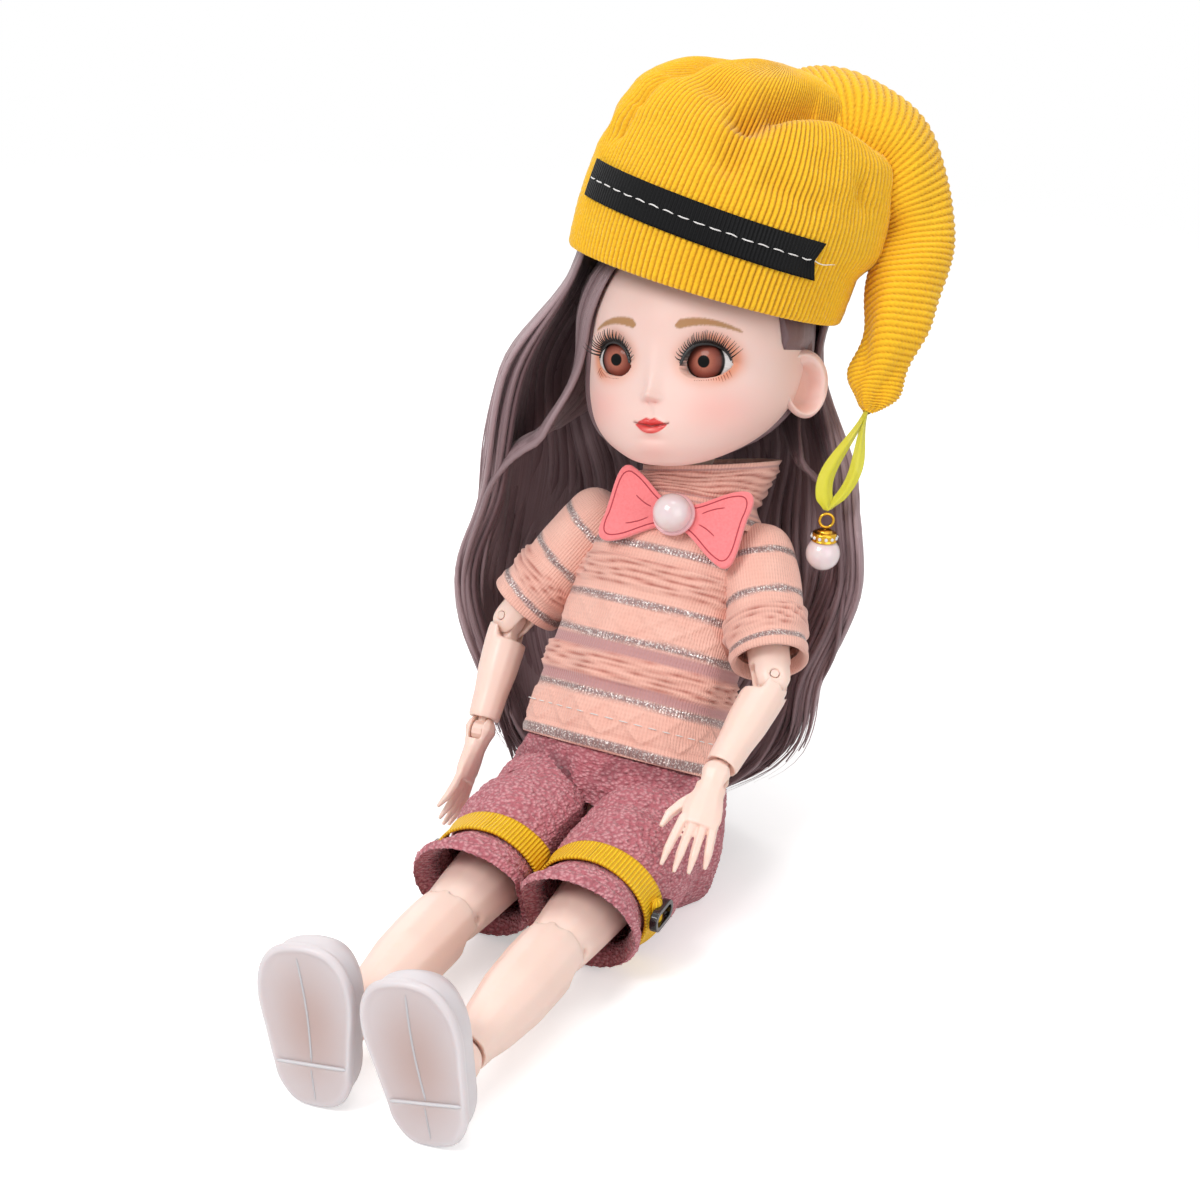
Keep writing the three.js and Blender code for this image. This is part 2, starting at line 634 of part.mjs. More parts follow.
for (const [name, rest] of sides) {
  const { side } = rest;
  const swing = group(trunk, [side * SHOULDER_HALF, 0, SHOULDER_HEIGHT], [rest.swing, 0, 0]);
  const lift = group(swing, [0, 0, 0], [0, -side * rest.lift, 0]);
  const turn = group(lift, [0, 0, 0], [0, 0, -side * rest.turn]);
  const elbow = group(turn, [0, 0, -UPPER_ARM], [-rest.elbow, 0, 0]);
  const wrist = group(elbow, [0, 0, -FOREARM], [0, 0, side * rest.wristTurn]);
  const handFrame = group(wrist, [0, 0, 0], [rest.wristBend, 0, 0]);
  const inward = new THREE.Vector3(-side, 0, 0);
  node(swing, `shoulder_knuckle_${name}`, knuckle(
    SHOULDER_DISC.r, SHOULDER_DISC.thick, Y, SHOULDER_DISC.pegR, SHOULDER_DISC.pegLength, inward,
  ), LIMB);
  node(lift, `arm_socket_${name}`, armSocket(), LIMB);
  node(turn, `upper_arm_${name}`, upperArm(), LIMB);
  const pin = rod(PIN_R - GAP / 2, 2 * ELBOW_R - 1.5, X, 8);
  node(turn, `elbow_pin_${name}`, pin.translate(0, 0, -UPPER_ARM), STEEL);
  node(elbow, `forearm_${name}`, forearm(), LIMB);
  node(wrist, `wrist_knuckle_${name}`, knuckle(
    WRIST_DISC.r, WRIST_DISC.thick, X, WRIST_DISC.pegR, WRIST_DISC.pegLength, Z,
  ), LIMB);
  node(handFrame, `hand_${name}`, hand(side), LIMB);
  node(turn, `sleeve_${name}`, sleeve(turn), KNIT);
}

// A short knitted sleeve round the upper arm.
function sleeve(frame) {
  const outer = skin([
    [-SLEEVE_LENGTH, SLEEVE_R + 0.4, SLEEVE_R], [-SLEEVE_LENGTH + 4, SLEEVE_R, SLEEVE_R - 0.4],
    [-14, SLEEVE_R + 0.2, SLEEVE_R], [-6, SLEEVE_R, SLEEVE_R], [0, SLEEVE_R - 0.6, SLEEVE_R - 0.6],
    ...roundEnd(0, SLEEVE_R - 0.6, 1),
  ], 14);
  const inner = skin([
    [-SLEEVE_LENGTH - 2, SLEEVE_R - 1.2, SLEEVE_R - 1.4], [-14, 7.6, 7.6], [0, 7.2, 7.2],
    ...roundEnd(0, 7.2, 1),
  ], 12);
  return cut(outer, inner, block([-30, -30, 0.5], [30, 30, 30]), from(trunk, chestForm(GAP), frame));
}

// Legs

const KNEE_TONGUE = { r: 5, thick: 4.6 };
const ANKLE_DISC = { r: 3.2, thick: 3.8, pegR: 1.9, pegLength: 14 };

function thigh() {
  const body = skin([
    ...roundEnd(-THIGH, KNEE_R, -1, 4), [-THIGH, KNEE_R, KNEE_R], [-52, 8.4, 8.4], [-38, 9.3, 9.3],
    [-22, 9.6, 9.6], [-10, HIP_BALL_R, HIP_BALL_R], [0, HIP_BALL_R, HIP_BALL_R],
    ...roundEnd(0, HIP_BALL_R, 1, 4),
  ], 12);
  return cut(body, slot(HIP_DISC.r, HIP_DISC.thick, Y, 1), ...hingeCuts(-THIGH, KNEE_TONGUE, true));
}

function shin() {
  const low = -SHIN + ANKLE_R + JOINT_GAP;
  const shape = [
    [low - 2.6, 4.9, 5], [low + 3, 5.3, 5.5], [-36, 6.6, 7], [-24, 8, 8.5], [-12, 8.4, 8.6], [-5, 8.3, 8.3],
    [-2, 8.2, 8.2],
  ];
  const boreLength = ANKLE_DISC.pegLength + GAP;
  return cut(
    lowerLimb(shape, KNEE_R, KNEE_TONGUE, 1, 12),
    moved(hollow(ANKLE_R), 0, 0, -SHIN),
    rod(ANKLE_DISC.pegR + GAP, boreLength, Z, 10).translate(0, 0, -SHIN + boreLength / 2),
  );
}

// The sole's outline, toes towards -y, seen from below or above alike apart from its small inward curve.
function soleShape(side, inset) {
  const back = SOLE_LENGTH * 0.29 - inset;
  const front = -SOLE_LENGTH * 0.71 + inset;
  const ballHalf = SOLE_WIDTH / 2 - inset;
  const heelHalf = SOLE_WIDTH * 0.36 - inset;
  const bias = -side * 0.8;
  const points = [
    [0, back], [heelHalf * 0.75, back - 2.2], [heelHalf, back - 7], [ballHalf * 0.8, -6], [ballHalf, -15],
    [ballHalf * 0.86, -22], [ballHalf * 0.45, front + 1.4], [0, front], [-ballHalf * 0.45, front + 1.4],
    [-ballHalf * 0.86, -22], [-ballHalf, -15], [-ballHalf * 0.8, -6], [-heelHalf, back - 7],
    [-heelHalf * 0.75, back - 2.2],
  ].map(([x, y]) => new THREE.Vector2(x + bias * Math.max(0, -y / 20), y));
  return new THREE.SplineCurve([...points, points[0]]).getPoints(14).slice(0, -1);
}

const slab = (outline, low, high) => new THREE.ExtrudeGeometry(
  new THREE.Shape(outline), { depth: high - low, bevelEnabled: false },
).translate(0, 0, low);

// The shoe's outer form: straight at the sole, then drawn in towards its opening.
const shoeForm = (side, inset, low, high) => {
  const levels = [0, 0.45, 0.8, 1];
  const draws = [0, 0.3, 1.6, 3.4];
  return loft(levels.map((t, i) => soleShape(side, inset + draws[i])
    .map((p) => new THREE.Vector3(p.x, p.y, low + t * (high - low)))));
};

function shoe(side) {
  const floor = -ANKLE_TO_SOLE;
  const upper = cut(
    shoeForm(side, SHOE_INSET, floor + SOLE_THICK, floor + SOLE_THICK + SHOE_HEIGHT),
    shoeForm(side, SHOE_INSET + SHOE_WALL, floor + SOLE_THICK + 0.8, floor + SOLE_THICK + SHOE_HEIGHT + 0.6),
    rod(7.2, 30, Z, 14).scale(1, 1.45, 1).translate(0, -3, floor + SOLE_THICK + SHOE_HEIGHT - 2),
  );
  const sole = slab(soleShape(side, 0), floor + HEEL_STEP, floor + SOLE_THICK + 0.2);
  const heel = common(
    slab(soleShape(side, 0.5), floor, floor + HEEL_STEP + 0.2),
    block([-30, SOLE_LENGTH * 0.29 - HEEL_LENGTH, -30], [30, 30, 30]),
  );
  return join(upper, sole, heel);
}

function foot(side) {
  const floor = -ANKLE_TO_SOLE + SOLE_THICK + 0.8 + GAP;
  const height = 8;
  const levels = [0, 0.5, 0.8, 1];
  const draws = [0.7, 1.2, 3.2, 5.4];
  const flesh = loft(levels.map((t, i) => soleShape(side, SHOE_INSET + SHOE_WALL + GAP + draws[i])
    .map((p) => new THREE.Vector3(p.x, p.y, floor + t * height))));
  const ankle = skin([
    [floor + 1, 5.5, 8], [floor + 5, 5.2, 7.5], [-4, 4.7, 5.4], [0, ANKLE_R, ANKLE_R],
    ...roundEnd(0, ANKLE_R, 1),
  ], 14);
  return cut(join(flesh, ankle), slot(ANKLE_DISC.r, ANKLE_DISC.thick, X, 1));
}

// The shorts leg as a solid of a given growth, flat where it meets the other leg.
function shortsLegForm(side, grow) {
  const r = SHORTS_LEG_R;
  const form = skin([
    [-68, r - 1.2, r - 1.2], [-52, r - 0.6, r - 0.6], [-STRAP_AT - 6.5, r - 1.6, r - 1.4],
    [-STRAP_AT, r - 1.8, r - 1.6], [-STRAP_AT + 5.5, r - 0.6, r - 0.2], [-24, r + 0.6, r + 0.6], [0, r, r],
  ], 14, grow);
  const inner = LEG_FLAT + grow;
  return common(form, block([side > 0 ? -inner : -40, -40, -90], [side > 0 ? 40 : inner, 40, 10]));
}

function shortsLeg(side) {
  const bore = skin([[-70, 11.8, 11.8], [-34, 11.8, 11.8], [-8, 12.6, 12.6], [10, 12.6, 12.6]], 14);
  const hem = block([-40, -80, -60], [40, 80, 0])
    .rotateX(Math.atan(SHORTS_HEM_SLANT))
    .translate(0, 0, -SHORTS_LEG_END);
  return cut(shortsLegForm(side, 0), bore, hem, block([-40, -40, -SHORTS_SEAM - GAP], [40, 40, 40]));
}

function strap(side) {
  return common(
    cut(shortsLegForm(side, GAP + STRAP_THICK), shortsLegForm(side, GAP)),
    block([-40, -40, -STRAP_WIDTH / 2], [40, 40, STRAP_WIDTH / 2]).rotateX(Math.atan(SHORTS_HEM_SLANT / 2))
      .translate(0, 0, -STRAP_AT),
  );
}

// A slide buckle: a rounded ring, long across the strap.
function buckle() {
  const outline = (length, width) => {
    const r = width / 2;
    const shape = new THREE.Shape();
    shape.absarc(0, length / 2 - r, r, 0, Math.PI, false);
    shape.absarc(0, -length / 2 + r, r, Math.PI, 2 * Math.PI, false);
    return shape;
  };
  const shape = outline(BUCKLE_LENGTH, BUCKLE_WIDTH);
  shape.holes.push(outline(BUCKLE_LENGTH - 2 * BUCKLE_BAR, BUCKLE_WIDTH - 2 * BUCKLE_BAR));
  const flat = { depth: BUCKLE_THICK, bevelEnabled: false, curveSegments: 4 };
  return new THREE.ExtrudeGeometry(shape, flat).rotateX(Math.PI / 2).rotateZ(Math.PI / 2);
}

for (const [name, rest] of sides) {
  const { side } = rest;
  const swing = group(hips, [side * HIP_HALF, 0, 0], [-LEG_RAISE, 0, 0]);
  const spread = group(swing, [0, 0, 0], [0, -LEG_YAW, 0]);
  const knee = group(spread, [0, 0, -THIGH]);
  const ankleTurn = group(knee, [0, 0, -SHIN], [0, 0, rest.ankleTurn]);
  const inward = new THREE.Vector3(-side, 0, 0);
  node(swing, `hip_knuckle_${name}`, knuckle(
    HIP_DISC.r, HIP_DISC.thick, Y, HIP_DISC.pegR, HIP_DISC.pegLength, inward,
  ), LIMB);
  node(spread, `thigh_${name}`, thigh(), LIMB);
  const pin = rod(PIN_R - GAP / 2, 2 * KNEE_R - 2.5, X, 8);
  node(spread, `knee_pin_${name}`, pin.translate(0, 0, -THIGH), STEEL);
  node(knee, `shin_${name}`, shin(), LIMB);
  node(ankleTurn, `ankle_knuckle_${name}`, knuckle(
    ANKLE_DISC.r, ANKLE_DISC.thick, X, ANKLE_DISC.pegR, ANKLE_DISC.pegLength, Z,
  ), LIMB);
  node(ankleTurn, `foot_${name}`, foot(side), LIMB);
  node(ankleTurn, `shoe_${name}`, shoe(side), SHOE);
  node(spread, `shorts_leg_${name}`, shortsLeg(side), TERRY);
  node(spread, `strap_${name}`, strap(side), STRAP);
  const strapOut = SHORTS_LEG_R - 1.4 + 2 * GAP + STRAP_THICK + 0.2;
  const buckleFrame = group(spread, [side * strapOut, 0, -STRAP_AT], [0, side > 0 ? 0 : 180, 0]);
  node(buckleFrame, `buckle_${name}`, buckle(), BLACK);
}

// Shorts seat

const SHORTS_TOP = 21;            // the waist of the shorts, up the spine, inside the sweater's hem

function shortsSeat() {
  const floorZ = -HIP_HEIGHT;
  const outer = skin([
    [floorZ - 2, 24, 14, 0, 3], [floorZ + 3, 28, 18, 0, 3], [-6, 30.5, 21, 0, 2], [4, 30.5, 20.5, 0, 3],
    [12, 28, 18, 0, 6], [22, 25, 15, 0, 9.4],
  ], 14);
  const inner = skin([
    [floorZ + SHORTS_WALL, 17, 9, 0, 3], [-8, 26, 15.5, 0, 3], [3, 27, 15.5, 0, 3], [12, 25, 14.6, 0, 5.6],
    [24, 21, 11.6, 0, 10.2],
  ], 12);
  const aboveHem = from(trunk, block([-60, -60, SWEATER_HEM - GAP], [60, 60, 60]), hips);
  const waist = from(trunk, skin([[7, 24.8, 14], [SHORTS_TOP, 24, 13.4]], 16), hips);
  const waistInside = from(trunk, skin([[5, 23, 12.2], [SHORTS_TOP + 1, 22.2, 11.6]], 12), hips);
  const onLegs = (form) => sides.map(([name]) => from(frameOf(`thigh_${name}`), form, hips));
  const stub = skin([
    [-SHORTS_SEAM, SHORTS_LEG_R + 0.4, SHORTS_LEG_R + 0.6], [1, SHORTS_LEG_R, SHORTS_LEG_R],
  ], 12);
  return cut(
    join(cut(outer, aboveHem), waist, ...onLegs(stub)),
    inner,
    waistInside,
    ...onLegs(skin([[-30, 12.8, 12.8], [0, 13.2, 13.2], [9, 8.4, 8.4]], 10)),
    ...onLegs(block([-18, -40, -40], [18, 40, -SHORTS_SEAM])),
    block([-60, -60, floorZ - 20], [60, 60, floorZ]),
  );
}
node(hips, 'shorts_seat', shortsSeat(), TERRY);

// Sweater

const SWEATER_TOP = NECK_HEIGHT - NECKLINE_DROP;

const sweaterForm = (grow) => skin([
  [SWEATER_HEM, 27.5, 16, -0.6, 0], [SWEATER_HEM + 6, 27, 16.4, -0.6, 0], [34, 25.6, 15.8, -0.6, 0],
  [46, 25, 15.4, 0, 0], [58, 25, 15.2, 0.6, 0], [yoke(0.11), 24.6, 14.6, 1.2, 0],
  [yoke(0.5), 21.5, 13.4, 2.4, 0], [yoke(0.79), 16.5, 12.2, COLLAR_SHIFT, 0],
  [SWEATER_TOP, 13.5, 11.6, COLLAR_SHIFT, 0],
], 16, grow);

function sweater() {
  const inner = skin([
    [SWEATER_HEM - 2, 26.2, 14.8, -0.6, 0], [34, 24, 14.2, -0.6, 0], [58, 23.4, 13.6, 0.6, 0],
    [yoke(0.11), 22.8, 12.8, 1.2, 0], [yoke(0.5), 19.4, 11.4, 2.4, 0],
    [yoke(0.79), 14.6, 10.6, COLLAR_SHIFT, 0], [SWEATER_TOP + 2, 12, 10, COLLAR_SHIFT, 0],
  ], 14);
  const room = SLEEVE_R + 0.9;
  const armhole = skin([
    [-SLEEVE_LENGTH - 3, room + 0.6, room + 0.6], [0, room, room], [room * 0.6, room * 0.8, room * 0.8],
    [room, 1, 1],
  ], 10);
  const armholes = sides.map(([name]) => from(frameOf(`upper_arm_${name}`), armhole, trunk));
  return cut(sweaterForm(0), inner, ...armholes);
}

// The collar is a short funnel, higher at the left and back than under the chin.
function collar() {
  const low = SWEATER_TOP - 4;
  const waist = SWEATER_TOP + 1;
  const top = SWEATER_TOP + 11;
  const outer = skin([
    [low, 18.5, 13.4, COLLAR_SHIFT, 0], [waist, 14.8, 13, COLLAR_SHIFT, 0], [top - 3, 16.4, 14.4, 4, 0],
    [top + 8, 18.4, 15.8, 4.4, 0.6],
  ], 14);
  const inner = skin([
    [low - 2, 16, 11.5, COLLAR_SHIFT, 0], [waist, 13.2, 11.4, COLLAR_SHIFT, 0], [top - 3, 14.8, 12.8, 4, 0],
    [top + 11, 16.8, 14.4, 4.4, 0.6],
  ], 12);
  const headRoom = from(head, headEgg(0.8, 14), trunk);
  const slantedTop = block([-60, -60, 0], [60, 60, 60]).rotateX(rad(14)).rotateY(rad(-12))
    .translate(4, 0, top);
  return cut(outer, inner, headRoom, sweaterForm(GAP), slantedTop);
}

node(trunk, 'sweater', sweater(), KNIT);
node(trunk, 'collar', collar(), KNIT);

// Bow

function bow() {
  const [w, h] = [BOW_WIDTH / 2, BOW_HEIGHT / 2];
  const shape = new THREE.Shape();
  shape.moveTo(0, -h * 0.24);
  for (const s of [1, -1]) {
    const far = s * w;
    const [from, to] = [-s * h, s * h];
    shape.bezierCurveTo(far * 0.3, from * 0.3, far * 0.45, from * 0.8, far * 0.8, from);
    shape.bezierCurveTo(far * 0.98, from * 0.95, far * 0.84, from * 0.2, far * 0.93, to * 0.3);
    shape.bezierCurveTo(far * 1.02, to * 0.75, far * 0.98, to * 0.95, far * 0.78, to * 0.86);
    shape.bezierCurveTo(far * 0.5, to * 0.75, far * 0.3, to * 0.3, 0, to * 0.24);
  }
  const flat = new THREE.ExtrudeGeometry(shape, { depth: BOW_THICK, bevelEnabled: false, curveSegments: 4 });
  return flat.rotateX(Math.PI / 2);
}

const bowFrame = group(trunk, [4.2, -13.8, NECK_HEIGHT - BOW_DROP], [-7, -1, 4]);
node(bowFrame, 'bow', bow(), FELT);
node(bowFrame, 'bow_pearl', cut(
  ball(BOW_PEARL_R).translate(0, -BOW_THICK - GAP - 2.2, 0),
  block([-20, -BOW_THICK - GAP, -20], [20, 20, 20]),
), PEARL);

// Hat

const hat = group(head, [0, 3, HAT_SEAT], [0, HAT_TILT, 0]);

// The slouching crown: pushed in at the front brow, with one deep fold over the top.
function hatForm(grow) {
  const h = HAT_HEIGHT;
  const form = skin([
    [0, HAT_BRIM_RX - 0.6, HAT_BRIM_RY - 0.6], [3, HAT_BRIM_RX, HAT_BRIM_RY],
    [h * 0.22, HAT_BRIM_RX + 0.4, HAT_BRIM_RY + 0.4], [h * 0.42, HAT_BRIM_RX, HAT_BRIM_RY - 0.5, 0, 0.5],
    [h * 0.62, HAT_BRIM_RX - 2, HAT_BRIM_RY - 3.5, -0.5, 1],
    [h * 0.8, HAT_BRIM_RX - 6.5, HAT_BRIM_RY - 9, -1, 1.5],
    [h * 0.93, HAT_BRIM_RX - 14.5, HAT_BRIM_RY - 17, 0, 2],
    [h, 9, 8, 2, 2],
  ], 20, grow);
  return warp(form, (p) => {
    const fold = Math.exp(-(((p.x - 4 - 0.35 * p.y) / 6) ** 2)) * THREE.MathUtils.smoothstep(p.z, h * 0.5, h);
    p.z -= 7 * fold;
  });
}

function hatCrown() {
  const opening = skin([
    [-4, HAT_BRIM_RX - HAT_WALL - 0.4, HAT_BRIM_RY - HAT_WALL - 0.4],
    [4, HAT_BRIM_RX - HAT_WALL, HAT_BRIM_RY - HAT_WALL],
  ], 16);
  return cut(hatForm(0), hatForm(-HAT_WALL), opening);
}

function hatBand() {
  const ring = cut(hatForm(GAP + BAND_THICK), hatForm(GAP));
  const strip = block([-60, -60, BAND_FROM], [60, 60, BAND_FROM + BAND_WIDTH]).rotateY(rad(3));
  const front = block([-24, -60, -20], [33, -8, 80]);
  return common(common(ring, strip), front);
}

// The tail leaves the crown high on the left, turns over and hangs to a gathered tip.
const TAIL_PATH = [
  [20, 14, 58], [31, 19, 59], [41.5, 24, 51.5], [47.2, 25, 38], [47.7, 22, 25], [46.5, 16.5, 10.5],
  [44.3, 10.8, -3], [43.2, 7.2, -10.8],
];
const TAIL_RADII = [[14, 13], [13, 12], [11.5, 11], [9.6, 9.4], [8.8, 8.4], [8, 7.6], [6.2, 5.6], [2.6, 2.4]];

const tailForm = (grow) => taperedTube(TAIL_PATH, TAIL_RADII.map((r) => r.map((v) => v + grow)), 12, 10);

function hatTail() {
  const tube = tailForm(0);
  return cut(tube, from(hat, hatForm(GAP), head), headEgg(HAIR_THICK + GAP));
}

node(hat, 'hat_crown', hatCrown(), CORDUROY);
node(hat, 'hat_band', hatBand(), BLACK);
node(head, 'hat_tail', hatTail(), CORDUROY);

// The fall hangs from under the brim, round the back of the skull, and clear of the hat's tail.
node(doll, 'hair_fall', cut(
  curtain(hairFall()),
  from(hat, block([-90, -90, -GAP], [90, 120, 90])),
  from(head, join(headEgg(HAIR_THICK + GAP), tailForm(GAP))),
), HAIR);

// Pendant: a folded ribbon from the tail's tip, a gold ring and cap, and a pearl

const TAIL_TIP = [40.9, 49, 120.9];  // in the doll's frame, as the three below
const RIBBON_END = [38, 35.6, 97.7];
const PENDANT_RING = [38, 35.4, 95.1];
const PENDANT_PEARL = [38, 35, 86.6];

function ribbon() {
  const strip = (bow_, wide) => {
    const middle = TAIL_TIP.map((v, i) => (v + RIBBON_END[i]) / 2 + bow_[i]);
    const route = [TAIL_TIP, middle, RIBBON_END].map((p) => new THREE.Vector3(...p));
    const section = new THREE.Shape([
      new THREE.Vector2(-0.3, -wide), new THREE.Vector2(0.3, -wide),
      new THREE.Vector2(0.3, wide), new THREE.Vector2(-0.3, wide),
    ]);
    return new THREE.ExtrudeGeometry(section, { steps: 5, extrudePath: new THREE.CatmullRomCurve3(route) });
  };
  return join(strip([-3.4, -2, 0], 2.4), strip([3, 2, 0], 2));
}

const ring = new THREE.TorusGeometry(1.7, 0.4, 5, 12).rotateY(rad(60)).translate(...PENDANT_RING);
const cap = () => cut(
  rod(3.1, 3.2, Z, 12).translate(...PENDANT_PEARL).translate(0, 0, PENDANT_PEARL_R + 0.4),
  moved(ball(PENDANT_PEARL_R + GAP, 10, 6), ...PENDANT_PEARL),
);
node(doll, 'tail_ribbon', ribbon(), ORGANZA);
node(doll, 'pendant_ring', ring, GOLD);
node(doll, 'pendant_cap', cap(), GOLD);
node(doll, 'pendant_pearl', moved(ball(PENDANT_PEARL_R, 10, 7), ...PENDANT_PEARL), PEARL);

export default doll;
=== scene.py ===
import json
import math
import random
from functools import lru_cache

import bmesh
import bpy
from mathutils import Matrix, Vector, noise


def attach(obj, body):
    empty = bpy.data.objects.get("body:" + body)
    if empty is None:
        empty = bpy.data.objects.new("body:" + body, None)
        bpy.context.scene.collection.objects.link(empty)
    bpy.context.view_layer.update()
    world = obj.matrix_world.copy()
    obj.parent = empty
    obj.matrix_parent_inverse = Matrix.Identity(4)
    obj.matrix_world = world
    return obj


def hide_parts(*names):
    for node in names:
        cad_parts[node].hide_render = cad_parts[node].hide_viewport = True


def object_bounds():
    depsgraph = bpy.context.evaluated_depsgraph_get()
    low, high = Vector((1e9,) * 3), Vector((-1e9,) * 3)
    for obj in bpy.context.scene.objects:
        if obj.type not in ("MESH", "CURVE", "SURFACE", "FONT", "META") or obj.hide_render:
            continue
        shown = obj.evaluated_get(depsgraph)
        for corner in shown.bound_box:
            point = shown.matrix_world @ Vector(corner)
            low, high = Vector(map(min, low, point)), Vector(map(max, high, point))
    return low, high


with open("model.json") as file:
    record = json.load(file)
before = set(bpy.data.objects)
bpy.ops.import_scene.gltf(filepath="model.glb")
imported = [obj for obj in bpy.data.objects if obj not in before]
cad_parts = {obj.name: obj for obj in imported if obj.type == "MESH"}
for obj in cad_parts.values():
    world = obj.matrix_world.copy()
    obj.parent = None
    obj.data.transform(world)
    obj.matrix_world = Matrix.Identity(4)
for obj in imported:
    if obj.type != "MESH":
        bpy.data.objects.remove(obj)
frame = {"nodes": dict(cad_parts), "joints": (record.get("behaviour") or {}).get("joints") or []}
cad_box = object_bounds()
random.seed(7)

MM = 0.001
SIDES = {"left": 1, "right": -1}

# Body sizes, as in the solids
HEAD_ABOVE_JOINT = 22.4
HAT_SEAT = 19.5
HAT_SET_BACK = 3
HAT_TILT = 17
SHORTS_LEG_R = 15.2
SHORTS_LEG_END = 51
SHORTS_HEM_SLANT = 0.42
STRAP_AT = 38
STRAP_WIDTH = 8.5
LEG_FLAT = 12.3
EYE_R = 7.4
EYE_WIDEN = 1.12
EYE_HALF = 11.0
EYE_DEPTH = 15.9
COLLAR_SHIFT = 3.5
BOW_WIDTH = 39
BOW_HEIGHT = 21
BOW_THICK = 1.6
BOW_PEARL_R = 4.8
ANKLE_TO_SOLE = 16.3

# Pattern pitches in millimetres
KNIT_STITCH = 0.75
TERRY_LOOP = 1.15
GROSGRAIN_RIB = 0.95


# Frames

def joint(name):
    return next(j for j in frame["joints"] if j["name"] == name)


def joint_place(name):
    return Vector(joint(name)["pos_m"])


def joint_axis(name):
    return Vector(joint(name)["axis"]).normalized()


def frame_at(place, up, across):
    """A frame in millimetres from its origin, its +Z and roughly its +X."""
    z = up.normalized()
    y = z.cross(across).normalized()
    turn = Matrix((y.cross(z), y, z)).transposed().to_4x4()
    return Matrix.Translation(place) @ turn @ Matrix.Scale(MM, 4)


DOLL = Matrix.Scale(MM, 4)
HIPS = (joint_place("hip_swing_left") + joint_place("hip_swing_right")) / 2
TRUNK = frame_at(HIPS, joint_axis("waist_twist"), Vector((1, 0, 0)))
HEAD_UP = joint_axis("head_turn")
HEAD_FRONT = joint_axis("head_tilt") * -math.copysign(1, joint_axis("head_tilt").y)
HEAD = frame_at(
    joint_place("head_turn") + HEAD_UP * HEAD_ABOVE_JOINT * MM, HEAD_UP, HEAD_UP.cross(HEAD_FRONT),
)
HAT = HEAD @ Matrix.Translation((0, HAT_SET_BACK, HAT_SEAT)) @ Matrix.Rotation(math.radians(HAT_TILT), 4, "Y")
HEAD_IN_DOLL = DOLL.inverted() @ HEAD
DOLL_FROM_HAT = DOLL.inverted() @ HAT
HAT_FROM_DOLL = DOLL_FROM_HAT.inverted()


def limb_frame(top, bottom, bend):
    """The frame of a limb that hangs down from its upper joint."""
    across = joint_axis(bend)
    across *= math.copysign(1, across.x)
    return frame_at(joint_place(top), joint_place(top) - joint_place(bottom), across)


ARM = {s: limb_frame(f"shoulder_swing_{s}", f"elbow_bend_{s}", f"elbow_bend_{s}") for s in SIDES}
LEG = {s: limb_frame(f"hip_swing_{s}", f"knee_bend_{s}", f"knee_bend_{s}") for s in SIDES}
FOOT = {
    s: frame_at(joint_place(f"ankle_turn_{s}"), joint_axis(f"ankle_turn_{s}"), joint_axis(f"ankle_bend_{s}"))
    for s in SIDES
}


# Camera and lights

CAMERA_PLACE = (0.2422, -0.5085, 0.2900)
CAMERA_RIGHT = (0.8878, 0.4567, 0.0569)
CAMERA_BACK = (0.4096, -0.8404, 0.3549)
CAMERA_LENS = 73.97
# Name, place in metres, size in metres, power in watts
LIGHTS = [
    ("key", (-0.30, -0.95, 0.95), 0.50, 8.8),
    ("fill", (1.00, -0.50, 0.45), 0.90, 3.6),
    ("top", (0.05, 0.15, 1.30), 0.80, 4.9),
    ("back", (-0.70, 0.80, 0.60), 0.80, 2.5),
]


def make_camera():
    camera = bpy.data.objects.new("camera", bpy.data.cameras.new("camera"))
    camera.data.lens = CAMERA_LENS
    camera.data.sensor_width = 36
    camera.data.clip_start = 0.01
    back = Vector(CAMERA_BACK).normalized()
    up = back.cross(Vector(CAMERA_RIGHT)).normalized()
    turn = Matrix((up.cross(back), up, back)).transposed().to_4x4()
    camera.matrix_world = Matrix.Translation(CAMERA_PLACE) @ turn
    bpy.context.scene.collection.objects.link(camera)
    bpy.context.scene.camera = camera


def make_lights():
    middle = (cad_box[0] + cad_box[1]) / 2
    for name, place, size, power in LIGHTS:
        lamp = bpy.data.lights.new(name, "AREA")
        lamp.size = size
        lamp.energy = power
        light = bpy.data.objects.new(name, lamp)
        light.location = place
        light.rotation_euler = (middle - Vector(place)).to_track_quat("-Z", "Y").to_euler()
        bpy.context.scene.collection.objects.link(light)


# Materials

def linear(code):
    """A #rrggbb colour as linear red, green, blue and alpha."""
    parts = [int(code[i:i + 2], 16) / 255 for i in (1, 3, 5)]
    return (*(c / 12.92 if c <= 0.04045 else ((c + 0.055) / 1.055) ** 2.4 for c in parts), 1)


def add(tree, kind, links=None, **settings):
    """Adds a shader node with its properties, its sockets' values and the sockets that feed it."""
    new = tree.nodes.new("ShaderNode" + kind)
    for key, value in settings.items():
        setattr(new, key, value)
    for key, value in (links or {}).items():
        if isinstance(value, bpy.types.NodeSocket):
            tree.links.new(value, new.inputs[key])
        else:
            new.inputs[key].default_value = value
    return new


def material(name, values):
    """A new material with the values of its shader's sockets: the material, its tree and its shader."""
    made = bpy.data.materials.new(name)
    made.use_nodes = True
    tree = made.node_tree
    shader = tree.nodes["Principled BSDF"]
    for socket, value in values.items():
        shader.inputs[socket].default_value = value
    return made, tree, shader


def attribute(tree, name):
    return add(tree, "Attribute", attribute_name=name).outputs["Fac"]


def paint(tree, shader, colour):
    tree.links.new(colour, shader.inputs["Base Color"])


def in_place(tree):
    return add(tree, "TexCoord").outputs["Object"]


def times(tree, first, second):
    return math_node(tree, "MULTIPLY", first, second)


